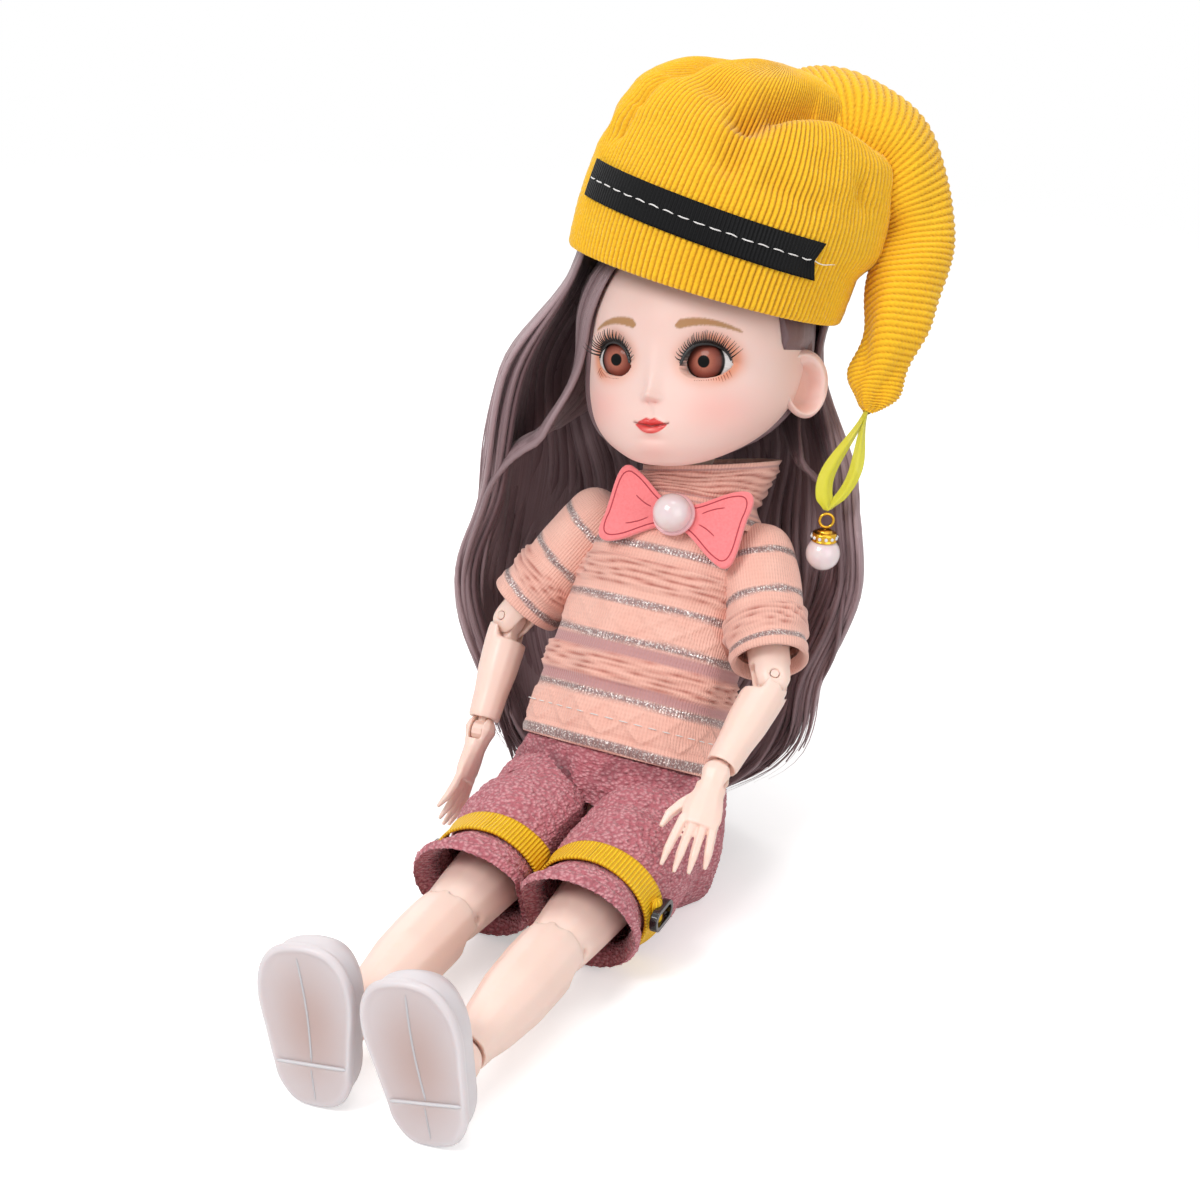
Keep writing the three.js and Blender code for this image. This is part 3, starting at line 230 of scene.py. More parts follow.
def mapped(tree, value, **ends):
    """A value mapped between ends, such as to_min=0.2, to_max=0.5."""
    named = {key.replace("_", " ").title(): end for key, end in ends.items()}
    return add(tree, "MapRange", {"Value": value, **named}).outputs[0]


def mixed(tree, amount, first, second):
    """Two colours mixed by an amount, each a socket or a hex code."""
    pick = [linear(c) if isinstance(c, str) else c for c in (first, second)]
    return add(tree, "Mix", {0: amount, 6: pick[0], 7: pick[1]}, data_type="RGBA").outputs[2]


def noisy(tree, vector, scale, detail=2.0):
    return add(tree, "TexNoise", {"Vector": vector, "Scale": scale, "Detail": detail}).outputs[0]


def bumped(tree, shader, height, distance, strength=1.0):
    bump = add(tree, "Bump", {"Height": height, "Distance": distance * MM, "Strength": strength})
    tree.links.new(bump.outputs[0], shader.inputs["Normal"])


def ribs(tree, vector, pitch, way):
    """Even ribs across a coordinate, one each pitch."""
    wave = add(tree, "TexWave", {"Vector": vector, "Scale": math.tau / 20 / pitch}, bands_direction=way)
    return wave.outputs["Fac"]


def stretched(tree, vector, scale):
    return add(tree, "Mapping", {"Vector": vector, "Scale": scale}).outputs[0]


def math_node(tree, operation, first, second=0.0):
    return add(tree, "Math", {0: first, 1: second}, operation=operation).outputs[0]


def moulded_vinyl():
    """Soft vinyl from a polished mould: an even peach, a little light through it, a broad dull gleam."""
    made, tree, shader = material("moulded_vinyl", {
        "Roughness": 0.42, "Subsurface Weight": 0.25, "Subsurface Radius": (1.0, 0.45, 0.3),
        "Subsurface Scale": 0.002, "Coat Weight": 0.08,
    })
    place = in_place(tree)
    cloud = noisy(tree, place, 45.0)
    paint(tree, shader, mixed(tree, cloud, "#F8DDD1", "#F2CFC0"))
    bumped(tree, shader, noisy(tree, place, 900.0), 0.02)
    return made


def painted_face():
    """Matt-sprayed vinyl with airbrushed cheeks and lids and glossy painted lips."""
    made, tree, shader = material("painted_face_vinyl", {
        "Subsurface Weight": 0.3, "Subsurface Radius": (1.0, 0.4, 0.3), "Subsurface Scale": 0.002,
    })
    place = in_place(tree)
    skin = mixed(tree, noisy(tree, place, 40.0), "#EFD0C7", "#E8C3B9")
    # painted highlight: the middle of the lower lip is painted a lighter coral
    lips = mixed(tree, attribute(tree, "lip_highlight"), "#D8403E", "#F0817A")
    # besides the doll's paint, these marks hold painted shade under the nose and lower lip, inside the eye
    # opening, in the lips' groove and in the ear's bowl
    for mark, colour in (("blush_and_shade", "#EDA59B"), ("lid", "#E0875F"), ("brow", "#A06C1C"), ("liner_and_socket_shade", "#1C0E0C"),
                         ("lip", lips), ("crease", "#8E3A34")):
        skin = mixed(tree, attribute(tree, mark), skin, colour)
    paint(tree, shader, skin)
    tree.links.new(mapped(tree, attribute(tree, "lip"), to_min=0.5, to_max=0.22), shader.inputs["Roughness"])
    return made


def glass_eye():
    """A domed glass eye: white, a red-brown ribbed iris, dark at its rim, a black pupil and a clear coat."""
    made, tree, shader = material("glass_eye", {
        "Roughness": 0.3, "Specular IOR Level": 0.05, "Coat Weight": 0.8, "Coat IOR": 1.22,
        "Coat Roughness": 0.02,
    })
    reach = attribute(tree, "reach")
    fibre = add(tree, "CombineXYZ", {0: times(tree, attribute(tree, "round"), 14.0), 1: reach})
    streak = noisy(tree, fibre.outputs[0], 2.2, 4.0)
    ramp = add(tree, "ValToRGB", {"Fac": reach})
    # Pupil, iris, rim and white by their distance from the middle over the ball's radius
    stops = [(0.0, "#020101"), (0.19, "#020101"), (0.22, "#C0735E"), (0.4, "#A0584A"), (0.53, "#7A3D33"),
             (0.6, "#140807"), (0.65, "#140807"), (0.68, "#F2ECEA")]
    while len(ramp.color_ramp.elements) < len(stops):
        ramp.color_ramp.elements.new(0.5)
    for element, (at, code) in zip(ramp.color_ramp.elements, stops):
        element.position = at
        element.color = linear(code)
    dark = mixed(tree, times(tree, streak, 0.55), "#FFFFFF", "#2A120E")
    shade = add(tree, "Mix", {0: 0.9, 6: ramp.outputs[0], 7: dark}, data_type="RGBA", blend_type="MULTIPLY")
    paint(tree, shader, shade.outputs[2])
    return made


def combed_hair():
    """Straight synthetic fibre, combed into waves: fine streaks along each lock and a long soft gleam."""
    made, tree, shader = material("combed_synthetic_hair", {"Roughness": 0.4, "Sheen Weight": 0.15})
    uv = add(tree, "TexCoord").outputs["UV"]
    streak = noisy(tree, stretched(tree, uv, (2.2, 0.03, 1)), 1.0, 4.0)
    dark = mixed(tree, streak, "#4A2F33", "#7B5C60")
    light = mixed(tree, streak, "#97777B", "#D8BFC3")
    # the tone picks dark or light fibre: a random tone per lock, plus painted shade on the inner layers, the
    # underlayer, the scalp and the locks beside the face on the doll's left
    paint(tree, shader, mixed(tree, attribute(tree, "tone_and_shade"), dark, light))
    bumped(tree, shader, noisy(tree, stretched(tree, uv, (5.0, 0.04, 1)), 1.0, 3.0), 0.2, 0.6)
    return made


def striped_knit():
    """Fine peach jersey with mauve courses and courses of glitter thread."""
    made, tree, shader = material("striped_knit", {"Sheen Weight": 0.3})
    uv = add(tree, "TexCoord").outputs["UV"]
    place = in_place(tree)
    silver = attribute(tree, "silver")
    mauve = attribute(tree, "mauve")
    spark = add(tree, "TexVoronoi", {"Vector": place, "Scale": 1 / (0.3 * MM)}).outputs["Color"]
    glint = add(tree, "SeparateColor", {0: spark})
    glitter = add(tree, "ValToRGB", {"Fac": glint.outputs[0]})
    for element, (at, code) in zip(glitter.color_ramp.elements, ((0.62, "#8E7473"), (1.0, "#F3ECE8"))):
        element.position = at
        element.color = linear(code)
    peach = mixed(tree, noisy(tree, place, 140.0), "#F8C6B6", "#EFB3A2")
    cloth = mixed(tree, mauve, peach, "#C19090")
    cloth = mixed(tree, silver, cloth, glitter.outputs[0])
    wale = ribs(tree, uv, KNIT_STITCH, "X")
    course = ribs(tree, uv, KNIT_STITCH * 0.8, "Y")
    stitch = times(tree, wale, math_node(tree, "ADD", times(tree, course, 0.5), 0.5))
    # painted shade: the stitch pattern darkens the cloth where its bump sinks
    cloth = mixed(tree, times(tree, stitch, 0.22), cloth, "#D08F7C")
    # painted shade in the grooves between the puffed courses
    cloth = mixed(tree, attribute(tree, "groove"), cloth, "#B8675A")
    paint(tree, shader, cloth)
    tree.links.new(times(tree, silver, 0.45), shader.inputs["Metallic"])
    tree.links.new(mapped(tree, silver, to_min=0.85, to_max=0.32), shader.inputs["Roughness"])
    sparkle = times(tree, glint.outputs[1], silver)
    bumped(tree, shader, math_node(tree, "SUBTRACT", sparkle, stitch), 0.16)
    return made


def terry():
    """Looped cotton towelling: short uneven loops in faint rows, no gleam."""
    made, tree, shader = material("rose_terry", {"Roughness": 0.95, "Sheen Weight": 0.15})
    place = in_place(tree)
    flat = stretched(tree, place, (1, 1, 1.7))
    loops = add(tree, "TexVoronoi", {"Vector": flat, "Scale": 1 / (TERRY_LOOP * MM)})
    patches = noisy(tree, place, 120.0)
    base = mixed(tree, patches, "#C8727C", "#B2646E")
    # painted highlight on the loop tops and painted shade between the loops
    between_loops = mapped(tree, loops.outputs["Distance"], from_min=0.1, from_max=0.62)
    lit_loop_tops = mixed(tree, between_loops, "#E8A8AE", base)
    # painted shade: the deep mark darkens creases, hollows and the inside of the leg openings
    paint(tree, shader, mixed(tree, attribute(tree, "deep"), lit_loop_tops, "#4E1F28"))
    bumped(tree, shader, math_node(tree, "SUBTRACT", 1.0, loops.outputs["Distance"]), 0.7)
    return made


def corduroy():
    """Golden cotton corduroy: round ribs of cut pile, each a row of small tufts."""
    made, tree, shader = material("golden_corduroy", {
        "Roughness": 0.9, "Sheen Weight": 0.35, "Sheen Roughness": 0.4,
    })
    place = in_place(tree)
    tuft = add(tree, "TexVoronoi", {"Vector": place, "Scale": 1 / (0.8 * MM)})
    wear = noisy(tree, place, 90.0)
    pile = mixed(tree, wear, "#FFD22A", "#FDC314")
    # painted shade between the tufts, where the bump sinks
    pile = mixed(tree, times(tree, tuft.outputs["Distance"], 0.4), pile, "#F0A50C")
    # painted shade in the grooves between ribs and in the creases
    pile = mixed(tree, attribute(tree, "groove"), pile, "#C47C04")
    paint(tree, shader, pile)
    bumped(tree, shader, math_node(tree, "SUBTRACT", 1.0, tuft.outputs["Distance"]), 0.22)
    return made


def grosgrain(name, bright, dark, gleam):
    """Ribbed ribbon: fine cross ribs in a tight polyester weave, with a slight gleam."""
    made, tree, shader = material(name, {"Roughness": 0.55, "Specular IOR Level": gleam})
    uv = add(tree, "TexCoord").outputs["UV"]
    rib = ribs(tree, uv, GROSGRAIN_RIB, "X")
    # painted light: the rib tops take the bright colour and the grooves the dark one
    paint(tree, shader, mixed(tree, rib, dark, bright))
    bumped(tree, shader, rib, 0.3)
    return made


def felt():
    """Pressed wool felt: matted fibre with a soft, faintly mottled face."""
    made, tree, shader = material("coral_felt", {"Roughness": 0.9, "Sheen Weight": 0.5})
    place = in_place(tree)
    fibre = noisy(tree, place, 1500.0, 6.0)
    paint(tree, shader, mixed(tree, fibre, "#FA9092", "#F07478"))
    bumped(tree, shader, fibre, 0.15)
    return made


def pearl(name, code):
    """Plastic pearl: a pale core with cloudy pinkish patches under a glossy nacre coat."""
    made, tree, shader = material(name, {
        "Roughness": 0.18, "Coat Weight": 0.8, "Coat Roughness": 0.05, "Subsurface Weight": 0.1,
        "Subsurface Scale": 0.002,
    })
    cloud = noisy(tree, in_place(tree), 260.0)
    paint(tree, shader, mixed(tree, cloud, "#E9E0DC", code))
    return made


def plain(name, code, roughness, metallic=0.0, coat=0.0):
    """A finish of one colour with a little cloudiness."""
    made, tree, shader = material(name, {"Roughness": roughness, "Metallic": metallic, "Coat Weight": coat})
    red, green, blue, _ = linear(code)
    darker = (red * 0.82, green * 0.8, blue * 0.8, 1)
    paint(tree, shader, mixed(tree, noisy(tree, in_place(tree), 150.0), code, darker))
    return made


def organza():
    """Sheer nylon ribbon: lime yellow, light comes through it."""
    made, tree, shader = material("lime_organza", {"Roughness": 0.35, "Alpha": 0.86, "Sheen Weight": 0.4})
    uv = add(tree, "TexCoord").outputs["UV"]
    thread = noisy(tree, stretched(tree, uv, (4, 1.5, 1)), 3.0)
    paint(tree, shader, mixed(tree, thread, "#E9E02C", "#D3CE1E"))
    bumped(tree, shader, thread, 0.08)
    return made


def shoe_vinyl():
    """Slightly see-through soft vinyl: milky lilac-grey, warmer where it is thick, waxy gleam."""
    made, tree, shader = material("milky_shoe_vinyl", {
        "Roughness": 0.38, "Subsurface Weight": 0.4, "Subsurface Radius": (1.0, 0.7, 0.6),
        "Subsurface Scale": 0.003,
    })
    place = in_place(tree)
    cloud = noisy(tree, place, 60.0)
    milky = mixed(tree, cloud, "#DCD6D8", "#D0C7CA")
    paint(tree, shader, mixed(tree, attribute(tree, "deep"), milky, "#BB9F98"))
    return made


VINYL = moulded_vinyl()
FACE = painted_face()
GLASS = glass_eye()
HAIR = combed_hair()
KNIT = striped_knit()
TERRY = terry()
CORDUROY = corduroy()
YELLOW_STRAP = grosgrain("yellow_grosgrain", "#FFD21A", "#E3A80A", 0.4)
BLACK_BAND = grosgrain("black_grosgrain", "#0D0D0F", "#020203", 0.15)
FELT = felt()
NACRE = pearl("nacre_pearl", "#E3C9CF")
ROSE_RING = plain("rose_plastic_ring", "#F3BFC4", 0.3, coat=0.4)
BLACK_PLASTIC = plain("glossy_black_plastic", "#121214", 0.18, coat=0.5)
GOLD = plain("gold_plate", "#E0AE3A", 0.2, metallic=1.0)
STONE = plain("cut_glass_stone", "#E9EEF2", 0.05, coat=1.0)
RED_THREAD = plain("dark_red_thread", "#B83A46", 0.7)
WHITE_THREAD = plain("white_thread", "#EFEDEA", 0.75)
LASH = plain("black_nylon_lash", "#120D0D", 0.4)
SOFT_LASH = plain("brown_painted_lash", "#A5573F", 0.6)
ORGANZA = organza()
SHOE = shoe_vinyl()


# Modelling

@lru_cache(maxsize=None)
def between(rows, t):
    """The numbers of a table at t, on a smooth curve through its rows."""
    last = len(rows) - 1
    if t <= rows[0][0] or t >= rows[last][0]:
        return rows[0 if t <= rows[0][0] else last][1:]
    k = next(i for i in range(last) if t < rows[i + 1][0])

    def slope(i):
        low, high = rows[max(i - 1, 0)], rows[min(i + 1, last)]
        return [(b - a) / (high[0] - low[0]) for a, b in zip(low[1:], high[1:])]

    span = rows[k + 1][0] - rows[k][0]
    s = (t - rows[k][0]) / span
    start, leave = 2 * s**3 - 3 * s**2 + 1, (s**3 - 2 * s**2 + s) * span
    finish, arrive = 3 * s**2 - 2 * s**3, (s**3 - s**2) * span
    return tuple(
        start * a + leave * m + finish * b + arrive * n
        for a, m, b, n in zip(rows[k][1:], slope(k), rows[k + 1][1:], slope(k + 1))
    )


def numbered(rows):
    """A table whose rows are read by their place in it."""
    return tuple((i, *row) for i, row in enumerate(rows))


def section(rows, v):
    """The place in a numbered table a share v of the way along it, then the numbers there."""
    t = v * (len(rows) - 1)
    return t, *between(rows, round(t, 5))


def step(low, high, value):
    """0 below low, 1 above high, and a smooth rise between."""
    s = min(max((value - low) / (high - low), 0.0), 1.0)
    return s * s * (3 - 2 * s)


def bump(value, middle, wide, power=2):
    """1 at the middle, falling away over wide on each side."""
    return math.exp(-(((value - middle) / wide) ** power))


def hill(x, z, at_x, at_z, wide, tall):
    return math.exp(-(((x - at_x) / wide) ** 2) - ((z - at_z) / tall) ** 2)


def ruffle(x, y, z):
    return noise.noise(Vector((x, y, z)))


def new_mesh():
    bm = bmesh.new()
    bm.loops.layers.uv.new("UVMap")
    return bm


def lay(bm, shape, around, along, size, marks=(), merge=1e-3):
    """Adds a grid laid on shape(u, v), both from 0 to 1; shape may also give a number for each mark.

    The size, in millimetres, is what the grid's UV map measures across and along."""
    layers = [bm.verts.layers.float.get(m) or bm.verts.layers.float.new(m) for m in marks]
    grid = bmesh.ops.create_grid(bm, x_segments=around, y_segments=along, size=0.5)
    uv = bm.loops.layers.uv.active
    for face in {f for vert in grid["verts"] for f in vert.link_faces}:
        for loop in face.loops:
            place = loop.vert.co
            loop[uv].uv = ((place.x + 0.5) * size[0], (place.y + 0.5) * size[1])
    for vert in grid["verts"]:
        made = shape(vert.co.x + 0.5, vert.co.y + 0.5)
        if marks:
            vert.co = made[0]
            for layer, value in zip(layers, made[1]):
                vert[layer] = value
        else:
            vert.co = made
    bmesh.ops.remove_doubles(bm, verts=grid["verts"], dist=merge)


def tube(bm, points, radii, around, outward, flat=1.0, tone_and_shade=None):
    """Adds a tube along points. outward is the way its flat side faces, flat its thickness over its width."""
    last = len(points) - 1
    rings = []
    for i, point in enumerate(points):
        along = (points[min(i + 1, last)] - points[max(i - 1, 0)]).normalized()
        side = along.cross(outward(point) if callable(outward) else outward).normalized()
        rings.append((point, side * radii[i], side.cross(along) * radii[i] * flat))

    def shape(u, v):
        point, side, face = rings[round(v * last)]
        turn = math.tau * u
        place = point + side * math.cos(turn) + face * math.sin(turn)
        return place if tone_and_shade is None else (place, (tone_and_shade,))

    length = sum((b - a).length for a, b in zip(points, points[1:]))
    lay(bm, shape, around, last, (math.tau * max(radii), length), () if tone_and_shade is None else ("tone_and_shade",), 1e-4)


def tapered(width, count, end=0.05):
    """The radii of a thread along its points, thin at both ends."""
    return [end] + [width] * (count - 2) + [end]


def piece(bm, name, place, finish, body, stands_for=(), smooth=True, thick=None):
    """Turns a mesh in millimetres into a finished piece that rides on a body."""
    bmesh.ops.recalc_face_normals(bm, faces=bm.faces)
    bm.transform(place)
    mesh = bpy.data.meshes.new(name)
    bm.to_mesh(mesh)
    bm.free()
    mesh.materials.append(finish)
    mesh.polygons.foreach_set("use_smooth", [smooth] * len(mesh.polygons))
    made = bpy.data.objects.new(name, mesh)
    bpy.context.scene.collection.objects.link(made)
    if thick:
        wall = made.modifiers.new("wall", "SOLIDIFY")
        wall.thickness = thick * MM
        wall.offset = -1
    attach(made, body)
    if stands_for:
        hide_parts(*stands_for)
    return made


def surface(shape, grid, name, place, finish, body, stands_for=(), marks=(), merge=1e-3, thick=None):
    """A finished piece laid on one shape. The grid is cells around and along, then its size."""
    bm = new_mesh()
    lay(bm, shape, *grid[:2], grid[2:], marks, merge)
    piece(bm, name, place, finish, body, stands_for, thick=thick)


def rounded_copy(node, name, voxel, passes, place, marks=(), shape=None):
    """A fine, rounded copy of a CAD solid in millimetres in the frame place, whose points shape may move."""
    source = frame["nodes"][node]
    bm = bmesh.new()
    bm.from_mesh(source.data)
    bm.transform(place.inverted())
    bmesh.ops.remove_doubles(bm, verts=bm.verts, dist=1e-3)
    mesh = bpy.data.meshes.new(name)
    bm.to_mesh(mesh)
    bm.free()
    holder = bpy.data.objects.new(name, mesh)
    bpy.context.scene.collection.objects.link(holder)
    remesh = holder.modifiers.new("remesh", "REMESH")
    remesh.mode = "VOXEL"
    remesh.voxel_size = voxel
    made = holder.evaluated_get(bpy.context.evaluated_depsgraph_get()).to_mesh()
    bm = bmesh.new()
    bm.from_mesh(made)
    bpy.data.objects.remove(holder)
    for _ in range(passes):
        for factor in (0.5, -0.53):
            bmesh.ops.smooth_vert(
                bm, verts=bm.verts, factor=factor, use_axis_x=True, use_axis_y=True, use_axis_z=True,
            )
    layers = [bm.verts.layers.float.new(m) for m in marks]
    if shape:
        bm.normal_update()
        for vert in bm.verts:
            vert.co, values = shape(vert.co, vert.normal)
            for layer, value in zip(layers, values):
                vert[layer] = value
    return bm


def round_off(node, voxel, rounds):
    """Rounds a CAD solid's facets with modifiers and gives it the body's vinyl."""
    shown = frame["nodes"][node]
    weld = shown.modifiers.new("weld", "WELD")
    weld.merge_threshold = 0.01 * MM
    fine = shown.modifiers.new("fine", "REMESH")
    fine.mode = "VOXEL"
    fine.voxel_size = voxel * MM
    fine.use_smooth_shade = True
    soften = shown.modifiers.new("soften", "SMOOTH")
    soften.factor = 0.5
    soften.iterations = rounds
    in_vinyl(node)


def in_vinyl(node):
    shown = frame["nodes"][node]
    shown.data.materials.clear()
    shown.data.materials.append(VINYL)


# Limbs and trunk

PLAIN_PARTS = ("pelvis", "chest", "waist_knuckle", "head_knuckle")
PLAIN_PAIRS = (
    "shoulder_knuckle", "arm_socket", "wrist_knuckle", "hip_knuckle", "ankle_knuckle", "elbow_pin",
    "knee_pin",
)
# Voxel in millimetres and rounds of smoothing of each limb
ROUNDED_PAIRS = {
    "upper_arm": (0.4, 24), "forearm": (0.4, 24), "thigh": (0.52, 20), "shin": (0.45, 25), "foot": (0.4, 16),
    "hand": (0.26, 10),
}


def finish_body():
    round_off("neck", 0.4, 12)
    for node in PLAIN_PARTS:
        in_vinyl(node)
    for side in SIDES:
        for node in PLAIN_PAIRS:
            in_vinyl(f"{node}_{side}")
        for node, (voxel, rounds) in ROUNDED_PAIRS.items():
            round_off(f"{node}_{side}", voxel, rounds)


# Head

# Rows from the chin's underside to the crown: half width, half depth, middle's y, height
HEAD_ROWS = numbered((
    (0.05, 0.05, -18.8, -26.1), (6, 4, -18.5, -25.6), (11.5, 8.5, -16, -24), (17.8, 15, -12, -20.5),
    (22.4, 20, -8, -16), (25.6, 24, -3.6, -10), (27, 26.6, -0.6, -3), (27.5, 28, 1.2, 5),
    (26.8, 28.2, 2.2, 13),
    (23.8, 25.6, 2.8, 21), (17.6, 19.4, 3, 28), (9.5, 10.6, 3, 32.5), (0.05, 0.05, 3, 34.3),
))
FACE_FIRST, FACE_LAST = 1.0, 8.5      # these rows hold the face and are drawn finer
FACE_SHARE = 0.8
HEAD_GRID = (400, 215, 170, 60)


def head_row(v):
    """The row of the table for a share of the way up; the face takes most of it."""
    top = len(HEAD_ROWS) - 1
    edge = (1 - FACE_SHARE) / 2
    if v < edge:
        return FACE_FIRST * v / edge
    if v > 1 - edge:
        return FACE_LAST + (top - FACE_LAST) * (v - 1 + edge) / edge
    return FACE_FIRST + (FACE_LAST - FACE_FIRST) * (v - edge) / FACE_SHARE


def head_turn(u):
    """The angle from the front, towards the doll's left, for a share of the way round."""
    return math.tau * (u - 0.5) - 0.35 * math.sin(math.tau * (u - 0.5))


EYE_X = 12.2                          # the middle of the opening, the glass ball's own is EYE_HALF
EYE_HALF_WIDTH = 5.6
LID_SNAP = 0.2                        # points this near a lid's rim are set on it
LIP_HALF = 4.3


def eye_lids(x, side):
    """The heights of the lower and upper lid's rim at a place across the opening, or None beside it."""
    a = (x * side - EYE_X) / EYE_HALF_WIDTH
    if abs(a) >= 1:
        return None
    corner = -1.5 + 0.6 * a
    low = corner - 2.8 * (1 - abs(a) ** 2.6) ** 0.7
    high = corner + (5.7 - 0.5 * a) * (1 - abs(a) ** 2.2) ** 0.6
    return low, high


def face_relief(x, z):
    """How far the face stands forward of the plain egg."""
    out = 2.5 * hill(x, z, 0, -8.5, 1.7, 1.5) + 1.3 * hill(x, z, 0, -6.2, 1.6, 2.4)
    out += 0.9 * hill(x, z, 0, -1.5, 2.2, 4.4) + 0.5 * hill(x, z, 0, 8, 9, 6)
    for s in SIDES.values():
        out += 0.8 * hill(x, z, s * 1.75, -9.2, 0.85, 0.8) - 0.75 * hill(x, z, s * 0.95, -10.35, 0.45, 0.3)
        out += 0.85 * hill(x, z, s * 1.15, -14.9, 1.2, 0.65) + 0.35 * hill(x, z, s * 2.5, -15.5, 1.2, 0.6)
        out += 0.9 * hill(x, z, s * 13, -11, 7, 6) - 0.9 * hill(x, z, s * 12.3, 1.0, 7.2, 5.6)
    out += 1.15 * hill(x, z, 0, -17.1, 2.3, 0.85) + 0.8 * hill(x, z, 0, -22.2, 4.6, 2.4)
    out -= 0.5 * hill(x, z, 0, -19.3, 3.0, 0.8) + 0.25 * hill(x, z, 0, -12.4, 0.6, 1.2)
    out -= 0.8 * bump(z, mouth_line(x), 0.28) * step(4.9, 4.2, abs(x))
    return out


def mouth_line(x):
    """The height where the lips meet."""
    return -15.9 + 0.03 * x * x - 0.25 * bump(x, 0, 0.9)


def lip_paint(x, z):
    reach = abs(x) / LIP_HALF
    if reach > 1:
        return 0.0
    top = -14.45 + 0.4 * bump(abs(x), 1.1, 0.75) - 1.4 * reach**3
    bottom = -17.9 + 2.2 * reach**2.2
    return step(top + 0.15, top - 0.15, z) * step(bottom - 0.15, bottom + 0.15, z)


def lip_crease(x, z):
    """The dark line between the lips, which runs a little past their corners: painted shade along the groove
    where they meet.
    """
    return 0.9 * bump(z, mouth_line(x), 0.2) * step(5.1, 4.4, abs(x))


def brow_paint(x, z):
    reach = (abs(x) - 5.2) / 14.5
    if not 0 < reach < 1:
        return 0.0
    middle = 8.3 + 5.2 * reach - 6.6 * reach**2
    half = 1.05 * (1 - reach) ** 0.6 * step(-0.02, 0.08, reach) + 0.12
    grain = 0.18 * ruffle(x * 2.4, z * 0.8, 3.0)
    return 0.85 * step(half + 0.3, half - 0.25, abs(z - middle) + grain)


def head_point(u, v):
    turn = head_turn(u)
    half_x, half_y, middle_y, z = between(HEAD_ROWS, round(head_row(v), 6))
    x = half_x * math.sin(turn)
    y = middle_y - half_y * math.cos(turn)
    lip = brow = lid = liner_and_socket_shade = lip_highlight = crease = blush_and_shade = 0.0
    if abs(turn) < 1.7 and abs(z) < 27:
        y -= face_relief(x, z) * step(1.7, 1.2, abs(turn))
        lip = lip_paint(x, z)
        # painted highlight on the middle of the lower lip
        lip_highlight = hill(x, z, 0.2, -16.9, 1.9, 0.55)
        # painted shade in the groove between the lips
        crease = lip_crease(x, z)
        brow = brow_paint(x, z)
        side = math.copysign(1, x)
        # the blush on the cheeks and chin is the doll's paint; the pink under the nose and in the dip under
        # the lower lip is painted shade
        blush_and_shade = 0.5 * hill(abs(x), z, 16, -12, 7, 5.5) + 0.45 * hill(x, z, 0, -10.1, 2.2, 0.9)
        blush_and_shade += 0.35 * hill(x, z, 0, -22, 5, 2.4) + 0.25 * hill(x, z, 0, -18.9, 2.6, 0.7)
        lids = eye_lids(x, side)
        if lids:
            low, high = lids
            if abs(z - high) < LID_SNAP:
                z = high
            elif abs(z - low) < LID_SNAP:
                z = low
            if low + 1e-6 < z < high - 1e-6:
                y = -EYE_DEPTH - 1.5
                # painted shade: the upper part of the eye opening's inner wall is painted near-black
                liner_and_socket_shade = step(-1.2, 1.2, z)
        near = math.hypot((abs(x) - EYE_X) / 1.18, z - 0.2)
        lid = 0.85 * bump(near, 5.2, 1.6) * (0.4 + 0.6 * step(-2, 4, abs(x) - EYE_X + 0.4 * z))
        if lids and z >= lids[1] - 1e-6:
            y -= 0.35 * bump(z, lids[1], 0.7)
            # the doll's own black liner along the upper lid's rim
            liner_and_socket_shade = max(liner_and_socket_shade, step(1.0, 0.5, z - lids[1]))
    return Vector((x, y, z)), (lip, brow, lid, liner_and_socket_shade, blush_and_shade, lip_highlight, crease)


FACE_MARKS = ("lip", "brow", "lid", "liner_and_socket_shade", "blush_and_shade", "lip_highlight", "crease")


def make_head():
    surface(head_point, HEAD_GRID, "head_skin", HEAD, FACE, "head", ("face", "head_cap"), FACE_MARKS)


def make_ears():
    for side, way in SIDES.items():
        bm = new_mesh()
        bmesh.ops.create_uvsphere(bm, u_segments=72, v_segments=60, radius=1)
        blush_and_shade = bm.verts.layers.float.new("blush_and_shade")
        shade = bm.verts.layers.float.new("lid")
        for vert in bm.verts:
            x, y, z = vert.co
            reach = math.hypot(y, z)
            out = abs(x) * 2.4
            if x > 0:
                bowl = step(0.82, 0.45, math.hypot(y + 0.1, z * 0.9 + 0.02))
                fold = 1.3 * bump(math.hypot(y - 0.12, z * 0.95 - 0.06), 0.52, 0.12) * step(-0.5, 0.3, y + z)
                out = out + 1.0 * bump(reach, 0.86, 0.12) - 3.8 * bowl + fold
                # painted shade: pink and orange-brown darken the ear's deep bowl
                vert[blush_and_shade] = 0.2 * bowl
                vert[shade] = 0.3 * bowl * step(1.3, 0.2, fold)
            else:
                out = -out
            vert.co = (out, y * 7.2 * (1 + 0.14 * z), z * 8.6)
        turn = Matrix.Rotation(math.radians(-33), 4, "Z") @ Matrix.Rotation(math.radians(12), 4, "X")
        bm.transform(Matrix.Translation((27.4, 2.6, -5.4)) @ turn)
        if way < 0:
            bmesh.ops.mirror(bm, geom=bm.verts[:] + bm.edges[:] + bm.faces[:], axis="X", merge_dist=-1)
            doomed = [v for v in bm.verts if v.co.x > 0]
            bmesh.ops.delete(bm, geom=doomed, context="VERTS")
        piece(bm, f"ear_{side}", HEAD, FACE, "head")


